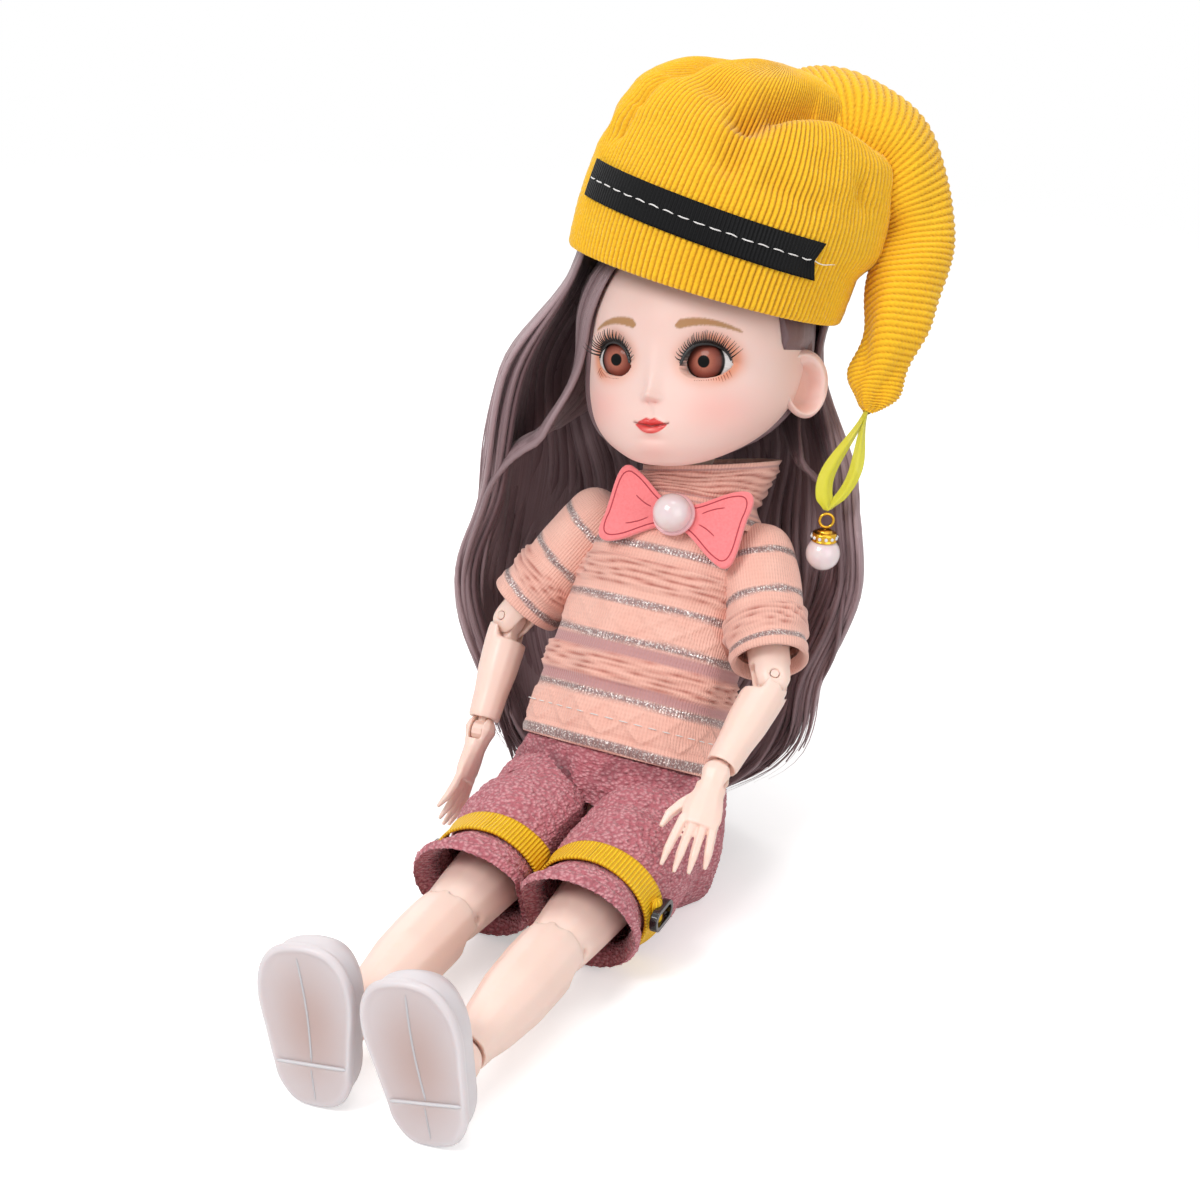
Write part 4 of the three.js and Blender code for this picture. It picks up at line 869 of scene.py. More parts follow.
def make_eyes():
    for side, way in SIDES.items():
        bm = new_mesh()
        bmesh.ops.create_uvsphere(bm, u_segments=96, v_segments=64, radius=EYE_R)
        reach = bm.verts.layers.float.new("reach")
        round_ = bm.verts.layers.float.new("round")
        for vert in bm.verts:
            vert.co.x *= EYE_WIDEN
            distance = math.hypot(vert.co.x, vert.co.y)
            vert[reach] = distance / EYE_R if vert.co.z > 0 else 1.0
            vert[round_] = abs(math.atan2(vert.co.y, vert.co.x))
            if vert.co.z > 0:
                vert.co.z += 0.35 * step(4.6, 2.5, distance)
        gaze = Vector((way * 0.09, -1, -0.03)).to_track_quat("Z", "Y").to_matrix().to_4x4()
        bm.transform(Matrix.Translation((way * EYE_HALF, -EYE_DEPTH, 0)) @ gaze)
        piece(bm, f"glass_eye_{side}", HEAD, GLASS, "head", (f"eye_{side}",))


def lid_point(a, side, upper, out=0.0):
    """A point on the lid's rim, a across the opening from -1 to 1, pushed forward by out."""
    x = side * (EYE_X + EYE_HALF_WIDTH * a)
    low, high = eye_lids(x * 0.9999, side)
    z = high if upper else low
    row = min(HEAD_ROWS, key=lambda r: abs(r[4] - z))[0]
    for _ in range(20):
        values = between(HEAD_ROWS, row)
        row += (z - values[3]) * 0.1
    half_x, half_y, middle_y, _ = between(HEAD_ROWS, row)
    y = middle_y - half_y * math.sqrt(max(1 - (x / half_x) ** 2, 0.05)) - face_relief(x, z)
    return Vector((x, y - out, z))


UPPER_LASHES = 30
LASH_RADII = [0.25 * (1 - 0.85 * k / 6) for k in range(7)]
LOWER_LASHES = 15


def upper_lash(a, share, way):
    """The points of one lash on the upper lid, longer towards the outer corner."""
    root = lid_point(a, way, True, 0.3)
    length = 2.0 + 2.2 * share**0.8 + random.uniform(-0.2, 0.3)
    lean = way * (0.1 + 0.85 * a + random.uniform(-0.1, 0.1))
    rise = length * (0.95 - 0.45 * abs(a))
    return [
        root + Vector((lean * length * t, -0.44 * length * math.sin(2.2 * t), rise * t * (0.25 + 0.75 * t)))
        for t in (k / 6 for k in range(7))
    ]


def make_lashes():
    forward = Vector((0, -1, 0))
    for side, way in SIDES.items():
        dark = new_mesh()
        band = [lid_point(-0.97 + 1.94 * i / 30, way, True, 0.25) for i in range(31)]
        swell = [0.22 + 0.4 * math.sin(math.pi * (0.15 + 0.8 * i / 30)) for i in range(31)]
        tube(dark, band, swell, 8, Vector((0, -1, 0.2)), 0.8)
        for i in range(UPPER_LASHES):
            share = i / (UPPER_LASHES - 1)
            tube(dark, upper_lash(-0.93 + 1.86 * share, share, way), LASH_RADII, 5, forward)
        piece(dark, f"upper_lashes_{side}", HEAD, LASH, "head")
        soft = new_mesh()
        for i in range(LOWER_LASHES):
            share = i / (LOWER_LASHES - 1)
            a = -0.35 + 1.25 * share
            root = lid_point(a, way, False, 0.12) - Vector((0, 0, 0.35))
            reach = Vector((way * a * 0.6 * (1.1 + 0.5 * share), 0.1, -1.1 - 0.5 * share))
            tube(soft, [root + reach * k / 3 for k in range(4)], [0.1, 0.085, 0.06, 0.02], 4, forward)
        piece(soft, f"lower_lashes_{side}", HEAD, SOFT_LASH, "head")


# Hair

# Height in the doll's frame, half width, half depth, middle x, middle y, angle from the back: from, to
FALL_ROWS = (
    (0, 31.5, 16.5, -13.7, 42, -110, 50), (14, 38.8, 19, -12, 40, -118, 64),
    (28, 44.8, 22, -10.7, 38, -115, 67),
    (45, 50.1, 25.5, -10.5, 36, -110, 68), (62, 53.3, 28, -8.8, 36, -107, 75),
    (85, 51.5, 30, -7.3, 38, -110, 77),
    (100, 49.7, 32, -7.5, 40, -115, 74), (116, 48, 34, -8, 43.5, -120, 63), (140, 43, 35, -8.4, 47, -125, 64),
    (160, 38, 34.3, -6, 50.5, -129, 66), (184, 27, 27, -2, 56, -130, 70),
)
# Layers of locks from the inside out: how many, how deep in the fall, how wide
LOCK_LAYERS = ((74, 4.2, 2.3), (96, 1.9, 2.0), (92, 0.0, 1.7))
LOCK_STEPS = 44
RIGHT_FRAMING, LEFT_FRAMING = 70, 20  # locks beside the face
LOOSE_STRANDS = 200
BRIM_HALF = (33.2, 34.0)
TUCK_R = 0.965                        # hair under the hat keeps inside this share of the brim
TUCK_FROM, TUCK_TO = -38, -1          # it is drawn in between these heights under the brim


def fall_point(share, z, off):
    """A point on the fall of hair: share of the way round from the doll's right, height, and depth."""
    half_x, half_y, x, y, first, last = between(FALL_ROWS, round(z, 4))
    angle = math.radians(first + (last - first) * share)
    return Vector((x + (half_x + off) * math.sin(angle), y + (half_y + off) * math.cos(angle), z))


def tucked(point):
    """The point, drawn in under the hat where it comes near the brim."""
    under = HAT_FROM_DOLL @ point
    reach = math.hypot(under.x / BRIM_HALF[0], under.y / BRIM_HALF[1])
    if under.z > TUCK_FROM and reach > TUCK_R:
        pull = 1 + (TUCK_R / reach - 1) * step(TUCK_FROM, TUCK_TO, under.z)
        under.x *= pull
        under.y *= pull
    return DOLL_FROM_HAT @ under


def outward_of_fall(point):
    _, _, x, y, _, _ = between(FALL_ROWS, round(point.z, 4))
    return Vector((point.x - x, point.y - y, 0.05)).normalized()


def hair_tube(bm, points, width, tone_and_shade, flat, around):
    """One lock along points, full to near its end."""
    last = len(points) - 1
    radii = [
        width * (0.55 + 0.45 * step(0, 0.3, i / last)) * (1 - 0.8 * step(0.8, 1.0, i / last) ** 1.5)
        for i in range(last + 1)
    ]
    tube(bm, [tucked(p) for p in points], radii, around, outward_of_fall, flat, tone_and_shade)


def lock(bm, share, depth, width, end, tone_and_shade, waves, flat=0.45, around=8):
    """One lock from under the hat's brim to its end, waving more the lower it hangs."""
    points = []
    top = 181 - depth
    for i in range(LOCK_STEPS + 1):
        t = i / LOCK_STEPS
        z = top + (end - top) * t
        sway = waves * step(0.12, 0.6, t) * math.sin(z / 9.5 + 5.0 * math.sin(share * 4.1) + 2.4 * share)
        stray = share + sway * 0.012 + 0.014 * ruffle(share * 30, z * 0.03, tone_and_shade)
        swell = 1.3 * math.sin(z / 8.0 + share * 17) * step(0.2, 0.7, t)
        curl = 6.5 * step(26, 2, z) ** 2
        points.append(fall_point(min(max(stray, -0.02), 1.02), z, -depth + swell - curl))
    hair_tube(bm, points, width, tone_and_shade, flat, around)


def framing_lock(bm, share, turn, off, width, tone_and_shade, end):
    """A lock that lies along the side of the face, then joins the front edge of the fall."""
    points = []
    for i in range(LOCK_STEPS + 1):
        z = 156 + (end - 156) * i / LOCK_STEPS
        up = max(-24.0, min(30.0, (z - 127) / 0.965))
        half_x, half_y, middle_y, _ = between(HEAD_ROWS, head_row_at(round(up, 3)))
        angle = math.radians(turn + math.copysign(30, turn) * step(26, -16, up))
        near = HEAD_IN_DOLL @ Vector((
            (half_x + off) * math.sin(angle), middle_y - (half_y + off) * math.cos(angle), up,
        ))
        far = fall_point(share, z, -1.0 + 0.8 * math.sin(z / 8 + share * 40))
        points.append(near.lerp(far, step(132, 84, z)))
    hair_tube(bm, points, width, tone_and_shade, 0.5, 7)


def backing(u, v):
    z = 2 + 174 * v
    # painted shade: the underlayer is given a dark tone
    return tucked(fall_point(0.02 + 0.96 * u, z, -4.4 - 6 * step(22, 2, z))), (0.3,)


def make_hair():
    surface(backing, (90, 60, 150, 172), "hair_underlayer", DOLL, HAIR, "head", marks=("tone_and_shade",),
            thick=1.0)
    for layer, (count, depth, width) in enumerate(LOCK_LAYERS):
        bm = new_mesh()
        for i in range(count):
            share = (i + 0.5 + random.uniform(-0.35, 0.35)) / count
            edge = min(share, 1 - share)
            end = 1.6 + 6 * random.random() ** 2 + 22 * step(0.1, 0.0, edge)
            # a random tone per lock, with painted shade: the deeper the layer, the darker
            tone_and_shade = 0.2 + 0.2 * layer + random.uniform(-0.2, 0.25) + 0.28 * ruffle(share * 14, layer, 2.0)
            lock(bm, share, depth + random.uniform(-0.8, 0.8), width * random.uniform(0.8, 1.25), end,
                 min(1.0, max(0.0, tone_and_shade)), 2.0 + random.uniform(-0.4, 0.6))
        stands_for = ("hair_fall",) if layer == 0 else ()
        piece(bm, f"hair_locks_{layer + 1}", DOLL, HAIR, "head", stands_for)
    beside_face = new_mesh()
    for i in range(RIGHT_FRAMING):
        t = i / (RIGHT_FRAMING - 1)
        framing_lock(beside_face, 0.16 * t, -40 - 62 * t + random.uniform(-1, 1), 1.6 + 6.5 * t, 1.7,
                     0.3 + 0.3 * ruffle(t * 9, 0, 6.0) + random.uniform(-0.12, 0.2), 8 + 26 * random.random())
    for i in range(LEFT_FRAMING):
        t = i / (LEFT_FRAMING - 1)
        # painted shade: the locks beside the face on the doll's left are given dark tones
        framing_lock(beside_face, 1.0 - 0.05 * t, 112 + 24 * t, 2.2 + 1.2 * t, 1.3, random.uniform(0.0, 0.3),
                     30 + 40 * random.random())
    piece(beside_face, "hair_beside_face", DOLL, HAIR, "head")
    fine = new_mesh()
    for _ in range(LOOSE_STRANDS):
        share = random.random()
        lock(fine, share, random.uniform(-1.4, 1.0), random.uniform(0.12, 0.28),
             2.5 + 22 * random.random() ** 2, random.uniform(0.5, 1.0), 2.4 + random.uniform(-0.8, 1.0),
             0.8, 4)
    piece(fine, "hair_loose_strands", DOLL, HAIR, "head")


def hairline(turn):
    """The lowest height of the skull's hair at an angle from the front, towards the doll's left."""
    degrees = math.degrees(turn)
    if degrees > 0:
        return 26 - 23 * step(60, 72, degrees) - 27 * step(98, 112, degrees)
    return 26 - 30 * step(40, 62, -degrees) - 20 * step(60, 80, -degrees)


def scalp_point(u, v):
    turn = math.tau * (u - 0.5)
    low = hairline(turn)
    z = low + (30 - low) * v
    half_x, half_y, middle_y, _ = between(HEAD_ROWS, head_row_at(z))
    grow = 0.2 + 1.1 * step(0, 0.12, v) + 0.2 * ring_ruffle(turn, 9.5, v * 2, 1.0)
    point = Vector(((half_x + grow) * math.sin(turn), middle_y - (half_y + grow) * math.cos(turn), z))
    # painted shade: the hair on the scalp is given a very dark tone
    return point, (0.06 + 0.1 * ruffle(u * 90, 0, 5.0),)


@lru_cache(maxsize=None)
def head_row_at(z):
    """The row of the head's table at a height."""
    low, high = 0.0, float(len(HEAD_ROWS) - 1)
    for _ in range(24):
        middle = (low + high) / 2
        if between(HEAD_ROWS, middle)[3] < z:
            low = middle
        else:
            high = middle
    return round(low, 5)


def make_scalp():
    surface(scalp_point, (180, 24, 160, 30), "scalp_hair", HEAD, HAIR, "head", ("wig",), ("tone_and_shade",),
            thick=0.8)


# Hat

# Rows from inside the brim, round its edge and up to the crown: half width, half depth, x, y, height
HAT_ROWS = numbered((
    (33.0, 33.8, 0, 0, 8), (33.1, 33.9, 0, 0, 2), (33.8, 34.6, 0, 0, -0.1), (34.8, 35.6, 0, 0, 0.3),
    (35.2, 36, 0, 0, 3), (35.6, 36.4, 0, 0, 12.4), (35.2, 35.5, 0, 0.5, 23.7), (33.2, 32.5, -0.5, 1, 35),
    (28.7, 27, -1, 1.5, 45.2), (20.7, 19, 0, 2, 52.5), (9, 8, 2, 2, 56.5), (0.05, 0.05, 2, 2, 57.3),
))
HAT_RIBS = 150
HAT_HEART = Vector((0, 2, 14))        # creases push the cloth towards this place inside
# Creases in the hat's frame: from, to, depth, half width
HAT_CREASES = (
    ((9, -25, 43), (13, -18.5, 48.5), 8.0, 4.8), ((13, -18.5, 48.5), (20, -6, 53), 8.5, 4.4),
    ((20, -6, 53), (29, 8, 50), 7.0, 4.4), ((9, -25, 43), (10.5, -31, 31), 3.2, 4.6),
    ((9, -25, 43), (-3, -23, 48), 2.6, 4.5), ((-22, -26, 31), (-19.5, -23, 40), 2.6, 2.8),
    ((-19.5, -23, 40), (-15, -16, 49), 4.4, 3.2), ((-15, -16, 49), (-10, 0, 55), 4.4, 4.8),
    ((33, -2, 33), (33, 12, 19), 2.6, 3.4), ((20, -27, 30), (29, -18, 26), 1.6, 3.5),
)
TAIL_TURN = 116                       # the tail lies against the crown at this angle from the front


def crease_depth(point, creases):
    depth = 0.0
    for start, end, deep, wide in creases:
        start = Vector(start)
        along = Vector(end) - start
        share = min(max((point - start).dot(along) / along.length_squared, 0), 1)
        away = (point - start - along * share).length
        depth = max(depth, deep * bump(away, 0, wide))
    return depth


def cord_profile(phase):
    """A corduroy rib's round back, from 0 in the groove to 1."""
    return abs(math.sin(math.pi * phase)) ** 0.8


def hat_point(u, v):
    t = v * (len(HAT_ROWS) - 1)
    half_x, half_y, middle_x, middle_y, z = between(HAT_ROWS, round(t, 6))
    turn = math.tau * u + 0.12 * step(4, 10, t)
    out_x, out_y = math.sin(turn), -math.cos(turn)
    x, y = middle_x + half_x * out_x, middle_y + half_y * out_y
    high = step(16, 40, z)
    wave = 1.6 * ruffle(x * 0.06, y * 0.06, z * 0.06) * high
    wave += 0.7 * ruffle(x * 0.12, y * 0.12, z * 0.16) * step(22, 30, z)
    wave += 4.8 * bump(math.degrees(turn), TAIL_TURN, 26) * step(11, 19, z) * step(50, 40, z)
    rib = cord_profile(HAT_RIBS * u)
    pile = 1 + 0.22 * ruffle(u * HAT_RIBS * 1.7, z * 1.1, 4.0)
    lift = wave + 0.72 * rib * pile * step(0.02, 0.3, half_x / 30)
    point = Vector((x + out_x * lift, y + out_y * lift, z))
    deep = crease_depth(point, HAT_CREASES) * step(20, 34, z)
    point += (HAT_HEART - point).normalized() * deep
    # painted shade in the rib grooves and the creases
    return point, (0.85 * (1 - rib) ** 1.5 + 0.05 * deep,)


# Middle, half width and half thickness of the tail, in the head's frame
TAIL_ROWS = numbered((
    (14, 11, 57, 14, 13), (20, 14, 58, 14, 13), (31, 19, 59, 13, 12), (41.5, 24, 51.5, 11.5, 11),
    (47.2, 25, 38, 9.6, 9.4), (47.7, 22, 25, 8.8, 8.4), (46.5, 16.5, 10.5, 8, 7.6),
    (44.3, 10.8, -3, 6.2, 5.6),
    (43.2, 7.2, -10.8, 2.2, 2.0), (43.1, 7.0, -11.3, 0.05, 0.05),
))
TAIL_CORD_TURNS = 84                  # ribs met from the tail's root to its tip
TAIL_CORD_LEAN = 9                    # ribs by which they climb in one turn


@lru_cache(maxsize=None)
def tail_ring(t):
    x, y, z, wide, thick = between(TAIL_ROWS, t)
    ahead = between(TAIL_ROWS, min(t + 0.05, len(TAIL_ROWS) - 1.0))
    behind = between(TAIL_ROWS, max(t - 0.05, 0.0))
    along = (Vector(ahead[:3]) - Vector(behind[:3])).normalized()
    side = along.cross(Vector((-0.45, 0.9, 0.1))).normalized()
    return Vector((x, y, z)), side, side.cross(along), wide, thick


def tail_point(u, v):
    t = v * (len(TAIL_ROWS) - 1)
    middle, side, face, wide, thick = tail_ring(round(t, 5))
    turn = math.tau * u
    rib = cord_profile(TAIL_CORD_TURNS * v + TAIL_CORD_LEAN * u)
    fold = math.sin(v * 23 + 2.0 * math.sin(turn) + 1.1) * step(0.3, 0.45, v) * step(0.98, 0.8, v)
    soft = 1.3 * ruffle(math.cos(turn) * 1.1, math.sin(turn) * 1.1, v * 9)
    gather = math.cos(11 * turn) * step(0.8, 0.97, v)
    small = min(1.0, wide / 5)
    lift = 0.7 * rib * step(0.1, 3, wide) + (0.6 * fold + 0.5 * gather + 1.5 * soft) * small
    point = middle + side * (wide + lift) * math.cos(turn) + face * (thick + lift) * math.sin(turn)
    # painted shade in the rib grooves
    return point, (0.85 * (1 - rib) ** 1.5,)


def make_hat():
    for shape, grid, node, place in (
        (hat_point, (HAT_RIBS * 4, 130, 222, 90), "hat_crown", HAT),
        (tail_point, (112, TAIL_CORD_TURNS * 5, 60, 100), "hat_tail", HEAD),
    ):
        surface(shape, grid, f"{node}_cloth", place, CORDUROY, "head", (node,), ("groove",), 1e-4)


BAND_FROM, BAND_TO = -46, 66          # degrees from the front, towards the doll's left
BAND_LOW, BAND_HIGH = 12.1, 21.4
BAND_STITCHES = 17


def band_point(turn, height, out):
    t = next(i for i in range(3, 10) if HAT_ROWS[i + 1][5] > height)
    share = (height - HAT_ROWS[t][5]) / (HAT_ROWS[t + 1][5] - HAT_ROWS[t][5])
    half_x, half_y, middle_x, middle_y, _ = between(HAT_ROWS, round(t + share, 5))
    x, y = (half_x + out) * math.sin(turn), (half_y + out) * math.cos(turn)
    return Vector((middle_x + x, middle_y - y, height - 0.052 * half_x * math.sin(turn)))


def ribbon_point(u, v):
    notch = 3.2 * (1 - abs(2 * v - 1)) * step(0.9, 1.0, u)
    turn = math.radians(BAND_FROM + (BAND_TO - BAND_FROM - notch) * u)
    curl = 0.35 * step(0.96, 1.0, u) + 0.12 * ruffle(u * 9, v, 0)
    return band_point(turn, BAND_LOW + (BAND_HIGH - BAND_LOW) * v, 1.25 + curl)


def make_band():
    surface(ribbon_point, (120, 12, 68, 9.3), "hat_ribbon", HAT, BLACK_BAND, "head", ("hat_band",),
            thick=0.6)
    thread = new_mesh()
    middle = (BAND_LOW + BAND_HIGH) / 2
    outward = Vector((0, -0.3, 1))
    for i in range(BAND_STITCHES):
        first = BAND_FROM + 2 + (BAND_TO - BAND_FROM - 5) * i / BAND_STITCHES
        points = [
            band_point(math.radians(first + 4.6 * k / 6), middle + 0.3 * ruffle(i, k * 0.2, 0),
                       1.45 + 0.15 * math.sin(math.pi * k / 6))
            for k in range(7)
        ]
        tube(thread, points, tapered(0.17, 7), 6, outward)
    loose = [
        band_point(math.radians(BAND_TO - 3 + 1.8 * k), middle - 0.4 * math.sin(k * 0.9), 1.5 + 0.25 * k)
        for k in range(6)
    ]
    tube(thread, loose, [0.12, 0.12, 0.11, 0.1, 0.09, 0.03], 6, outward)
    piece(thread, "hat_ribbon_stitches", HAT, WHITE_THREAD, "head")


# Pendant

TAIL_TIP = Vector((40.9, 49, 120.9))
RIBBON_END = Vector((38, 35.6, 97.7))
PENDANT_RING = Vector((38, 35.4, 95.1))
PENDANT_PEARL = Vector((38, 35, 86.6))
PENDANT_PEARL_R = 4.3


PENDANT_TOP = PENDANT_PEARL.z + PENDANT_PEARL_R
# The cap's profile: radius, height over the pearl's top
CAP_ROWS = numbered((
    (0.2, 1.9), (1.6, 1.9), (2.0, 1.5), (2.9, 1.2), (3.1, 0.6), (3.0, -0.3), (3.2, -0.9), (2.6, -1.0),
))
CAP_STONES = 12


def cap_point(u, v):
    _, radius, height = section(CAP_ROWS, v)
    turn = math.tau * u
    return Vector((PENDANT_PEARL.x + radius * math.cos(turn), PENDANT_PEARL.y + radius * math.sin(turn),
                   PENDANT_TOP + height))


def make_pendant():
    bm = new_mesh()
    for bow, wide, twist in ((Vector((-3.0, -1.6, 0)), 2.2, 0.25), (Vector((2.6, 1.5, 0)), 1.7, -0.3)):
        def shape(u, v, bow=bow, wide=wide, twist=twist):
            middle = TAIL_TIP.lerp(RIBBON_END, v) + bow * math.sin(math.pi * v**1.6)
            narrow = (0.32 + 0.68 * step(0.02, 0.6, v)) * (1 - 0.55 * step(0.88, 1.0, v))
            across = Vector((math.cos(0.5 + twist * v), math.sin(0.5 + twist * v), 0.1))
            cup = across.cross(Vector((0, 0, 1))) * 0.5 * math.cos(math.pi * (u - 0.5) * 2)
            return middle + across * wide * narrow * (2 * u - 1) + cup
        lay(bm, shape, 12, 40, (4.5, 30))
    piece(bm, "organza_loop", DOLL, ORGANZA, "head", ("tail_ribbon",), thick=0.22)
    bm = new_mesh()
    circle = [PENDANT_RING + Vector((0.85 * math.cos(a), 0.5 * math.cos(a), math.sin(a))) * 1.75
              for a in (math.tau * k / 36 for k in range(37))]
    tube(bm, circle, [0.36] * 37, 12, Vector((0.5, -0.86, 0)))
    piece(bm, "gold_ring", DOLL, GOLD, "head", ("pendant_ring",))
    surface(cap_point, (48, 28, 20, 6), "gold_cap", DOLL, GOLD, "head", ("pendant_cap",), thick=0.25)
    stones = new_mesh()
    for k in range(CAP_STONES):
        turn = math.tau * k / CAP_STONES
        x, y = PENDANT_PEARL.x + 3.1 * math.cos(turn), PENDANT_PEARL.y + 3.1 * math.sin(turn)
        spot = Matrix.Translation((x, y, PENDANT_TOP + 0.15))
        bmesh.ops.create_icosphere(stones, subdivisions=1, radius=0.5, matrix=spot)
    piece(stones, "cap_stones", DOLL, STONE, "head", smooth=False)
    ball = new_mesh()
    bmesh.ops.create_uvsphere(ball, u_segments=64, v_segments=40, radius=PENDANT_PEARL_R,
                              matrix=Matrix.Translation(PENDANT_PEARL))
    piece(ball, "pearl_drop", DOLL, NACRE, "head", ("pendant_pearl",))


# Sweater: bands by height up the spine: (from, to)

SILVER_BANDS = ((16.2, 18.6), (28.6, 30.4), (43.3, 45.2), (52.8, 54.5), (66.9, 68.8), (76.7, 78.2))
MAUVE_BANDS = ((30.4, 33.2), (40.0, 43.1))
RIB_BANDS = ((33.2, 40.0, 4), (57.2, 64.2, 4))
DIAMOND_BANDS = ((19.6, 28.0), (45.8, 52.2))
KNIT_MARKS = ("silver", "mauve", "groove")
HEM_STITCHES = 44
SWEATER_RING = 21                     # radii that give whole waves round each ring
COLLAR_RING = 15
SLEEVE_RING = 9
DIAMOND_WIDE = math.tau * SWEATER_RING / 8


def bands(z, table, soft=0.25):
    """1 inside the bands of the table, and 0 between them."""
    return max(step(low - soft, low + soft, z) * step(high + soft, high - soft, z) for low, high in table)


def ring_ruffle(turn, reach, z, shift):
    """Smooth noise on a ring, so that it meets itself where the ring closes."""
    return ruffle(reach * math.sin(turn), reach * math.cos(turn) + shift, z)


def puffed_ribs(z, around, table):
    """Puffed courses that pinch together every few millimetres: height above the cloth, and painted shade in
    the grooves between them.
    """
    out = groove = 0.0
    for low, high, count in table:
        if low - 0.5 < z < high + 0.5:
            pinch = 0.5 + 0.5 * math.sin(around / 1.5 + 0.8 * math.sin(z * 1.1))
            wander = 0.42 * math.sin(around / 3.0 + 1.2 * math.sin(z * 0.8))
            course = abs(math.sin(math.pi * count * (z + wander - low) / (high - low)))
            fade = step(low - 0.5, low + 0.4, z) * step(high + 0.5, high - 0.4, z)
            out += fade * (0.3 + (0.7 + 0.5 * pinch) * course**0.8)
            groove += 0.9 * fade * (1 - course) ** 1.3
    return out, groove


def diamonds(z, around):
    for low, high in DIAMOND_BANDS:
        if low < z < high:
            height = (z - low) / (high - low)
            saw = abs(((around / DIAMOND_WIDE) % 1) * 2 - 1)
            away = min(abs(height - saw), abs(height - 1 + saw)) * (high - low)
            return 0.5 * bump(away, 0, 0.55)
    return 0.0


SWEATER_ROWS = numbered((
    (25.2, 13.8, -0.6, 0, 22), (25.9, 14.5, -0.6, 0, 17.2), (26.7, 15.3, -0.6, 0, 16.0),
    (27.4, 16, -0.6, 0, 16.5),
    (27.3, 16.4, -0.6, 0, 22), (25.6, 15.8, -0.6, 0, 34), (25, 15.4, 0, 0, 46), (25, 15.2, 0.6, 0, 58),
    (24.6, 14.8, 1.2, 0, 68), (21.5, 13.6, 2.4, 0, 75), (17.0, 12.4, COLLAR_SHIFT, 0, 80),
    (14.0, 11.4, COLLAR_SHIFT, 0, 83.5), (13.0, 10.6, COLLAR_SHIFT, 0, 84.5),
))


def sweater_point(u, v):
    t, half_x, half_y, middle_x, middle_y, z = section(SWEATER_ROWS, v)
    turn = math.tau * (u - 0.5)
    out_x, out_y = math.sin(turn), -math.cos(turn)
    around = SWEATER_RING * turn
    outside = step(2.2, 3.0, t)
    level = z + 0.5 * ring_ruffle(turn, 1.3, z * 0.05, 2.0)
    puff, groove = puffed_ribs(level, around, RIB_BANDS)
    lift = puff + diamonds(level, around)
    lift += 0.3 * bump(level, 17.6, 1.2) - 0.35 * bump(level, 19.9, 0.5)
    lift += 1.2 * ring_ruffle(turn, 1.9, z * 0.045, 7.0) * step(16, 30, z)
    lift += 0.8 * ring_ruffle(turn, 4.2, z * 0.1, 3.0) * step(54, 70, z)
    lift += 0.5 * math.sin(8 * turn + z * 0.12) * step(30, 16, z)
    lift -= 1.1 * bump(abs(out_x), 0.86, 0.1) * step(46, 60, z)
    x = middle_x + half_x * out_x + out_x * lift * outside
    y = middle_y + half_y * out_y + out_y * lift * outside
    marks = (bands(level, SILVER_BANDS) * outside, bands(level, MAUVE_BANDS), groove)
    return Vector((x, y, z)), marks


COLLAR_ROWS = numbered((
    (19.2, 14.2, COLLAR_SHIFT, 0, 77.5), (17.2, 13.6, COLLAR_SHIFT, 0, 80.5),
    (14.9, 13.1, COLLAR_SHIFT, 0, 83.5),
    (15.3, 13.4, 3.8, 0, 87), (16.4, 14.4, 4, 0, 91), (17.0, 15.0, 4.1, 0.1, 93),
    (16.9, 14.9, 4.1, 0.1, 93.4),
    (16.0, 14.0, 4.1, 0.1, 92.8), (14.8, 12.9, 4, 0, 87),
))


def collar_point(u, v):
    t, half_x, half_y, middle_x, middle_y, z = section(COLLAR_ROWS, v)
    turn = math.tau * (u - 0.5)
    out_x, out_y = math.sin(turn), -math.cos(turn)
    reach_x, reach_y = half_x * out_x, half_y * out_y
    top = 93 + 0.21 * (middle_x + reach_x - 4) + 0.25 * reach_y
    share = step(79, 93, z) if t <= 5 else 1.0
    z += (top - 93) * share
    around = COLLAR_RING * turn
    outside = step(6.6, 5.6, t)
    level = z - (top - 93) * share
    puff, groove = puffed_ribs(level, around, ((84.0, 91.5, 5),))
    lift = 0.9 * puff * outside + 0.5 * ring_ruffle(turn, 1.2, z * 0.08, 4.0)
    marks = (bands(level, ((79.2, 80.6),)) * outside,
             0.8 * bands(level, ((81.4, 82.0), (83.2, 83.8), (91.8, 92.4)), 0.15), groove * outside)
    return Vector((middle_x + reach_x + out_x * lift, middle_y + reach_y + out_y * lift, z)), marks


# Half across, half deep, height
SLEEVE_ROWS = numbered((
    (7.9, 7.7, -25), (8.6, 8.3, -27.4), (9.4, 9.1, -28.2), (10.1, 9.7, -27.6), (9.9, 9.5, -24),
    (9.8, 9.5, -16),
    (9.9, 9.7, -8), (9.5, 9.3, -1), (8.3, 8.2, 4.6), (5.4, 5.3, 8.2), (0.05, 0.05, 9.6),
))
SLEEVE_SILVER = ((-1.6, 0.2), (-12.8, -11.0), (-25.4, -23.8))
SLEEVE_RIBS = ((-22.0, -16.0, 4),)


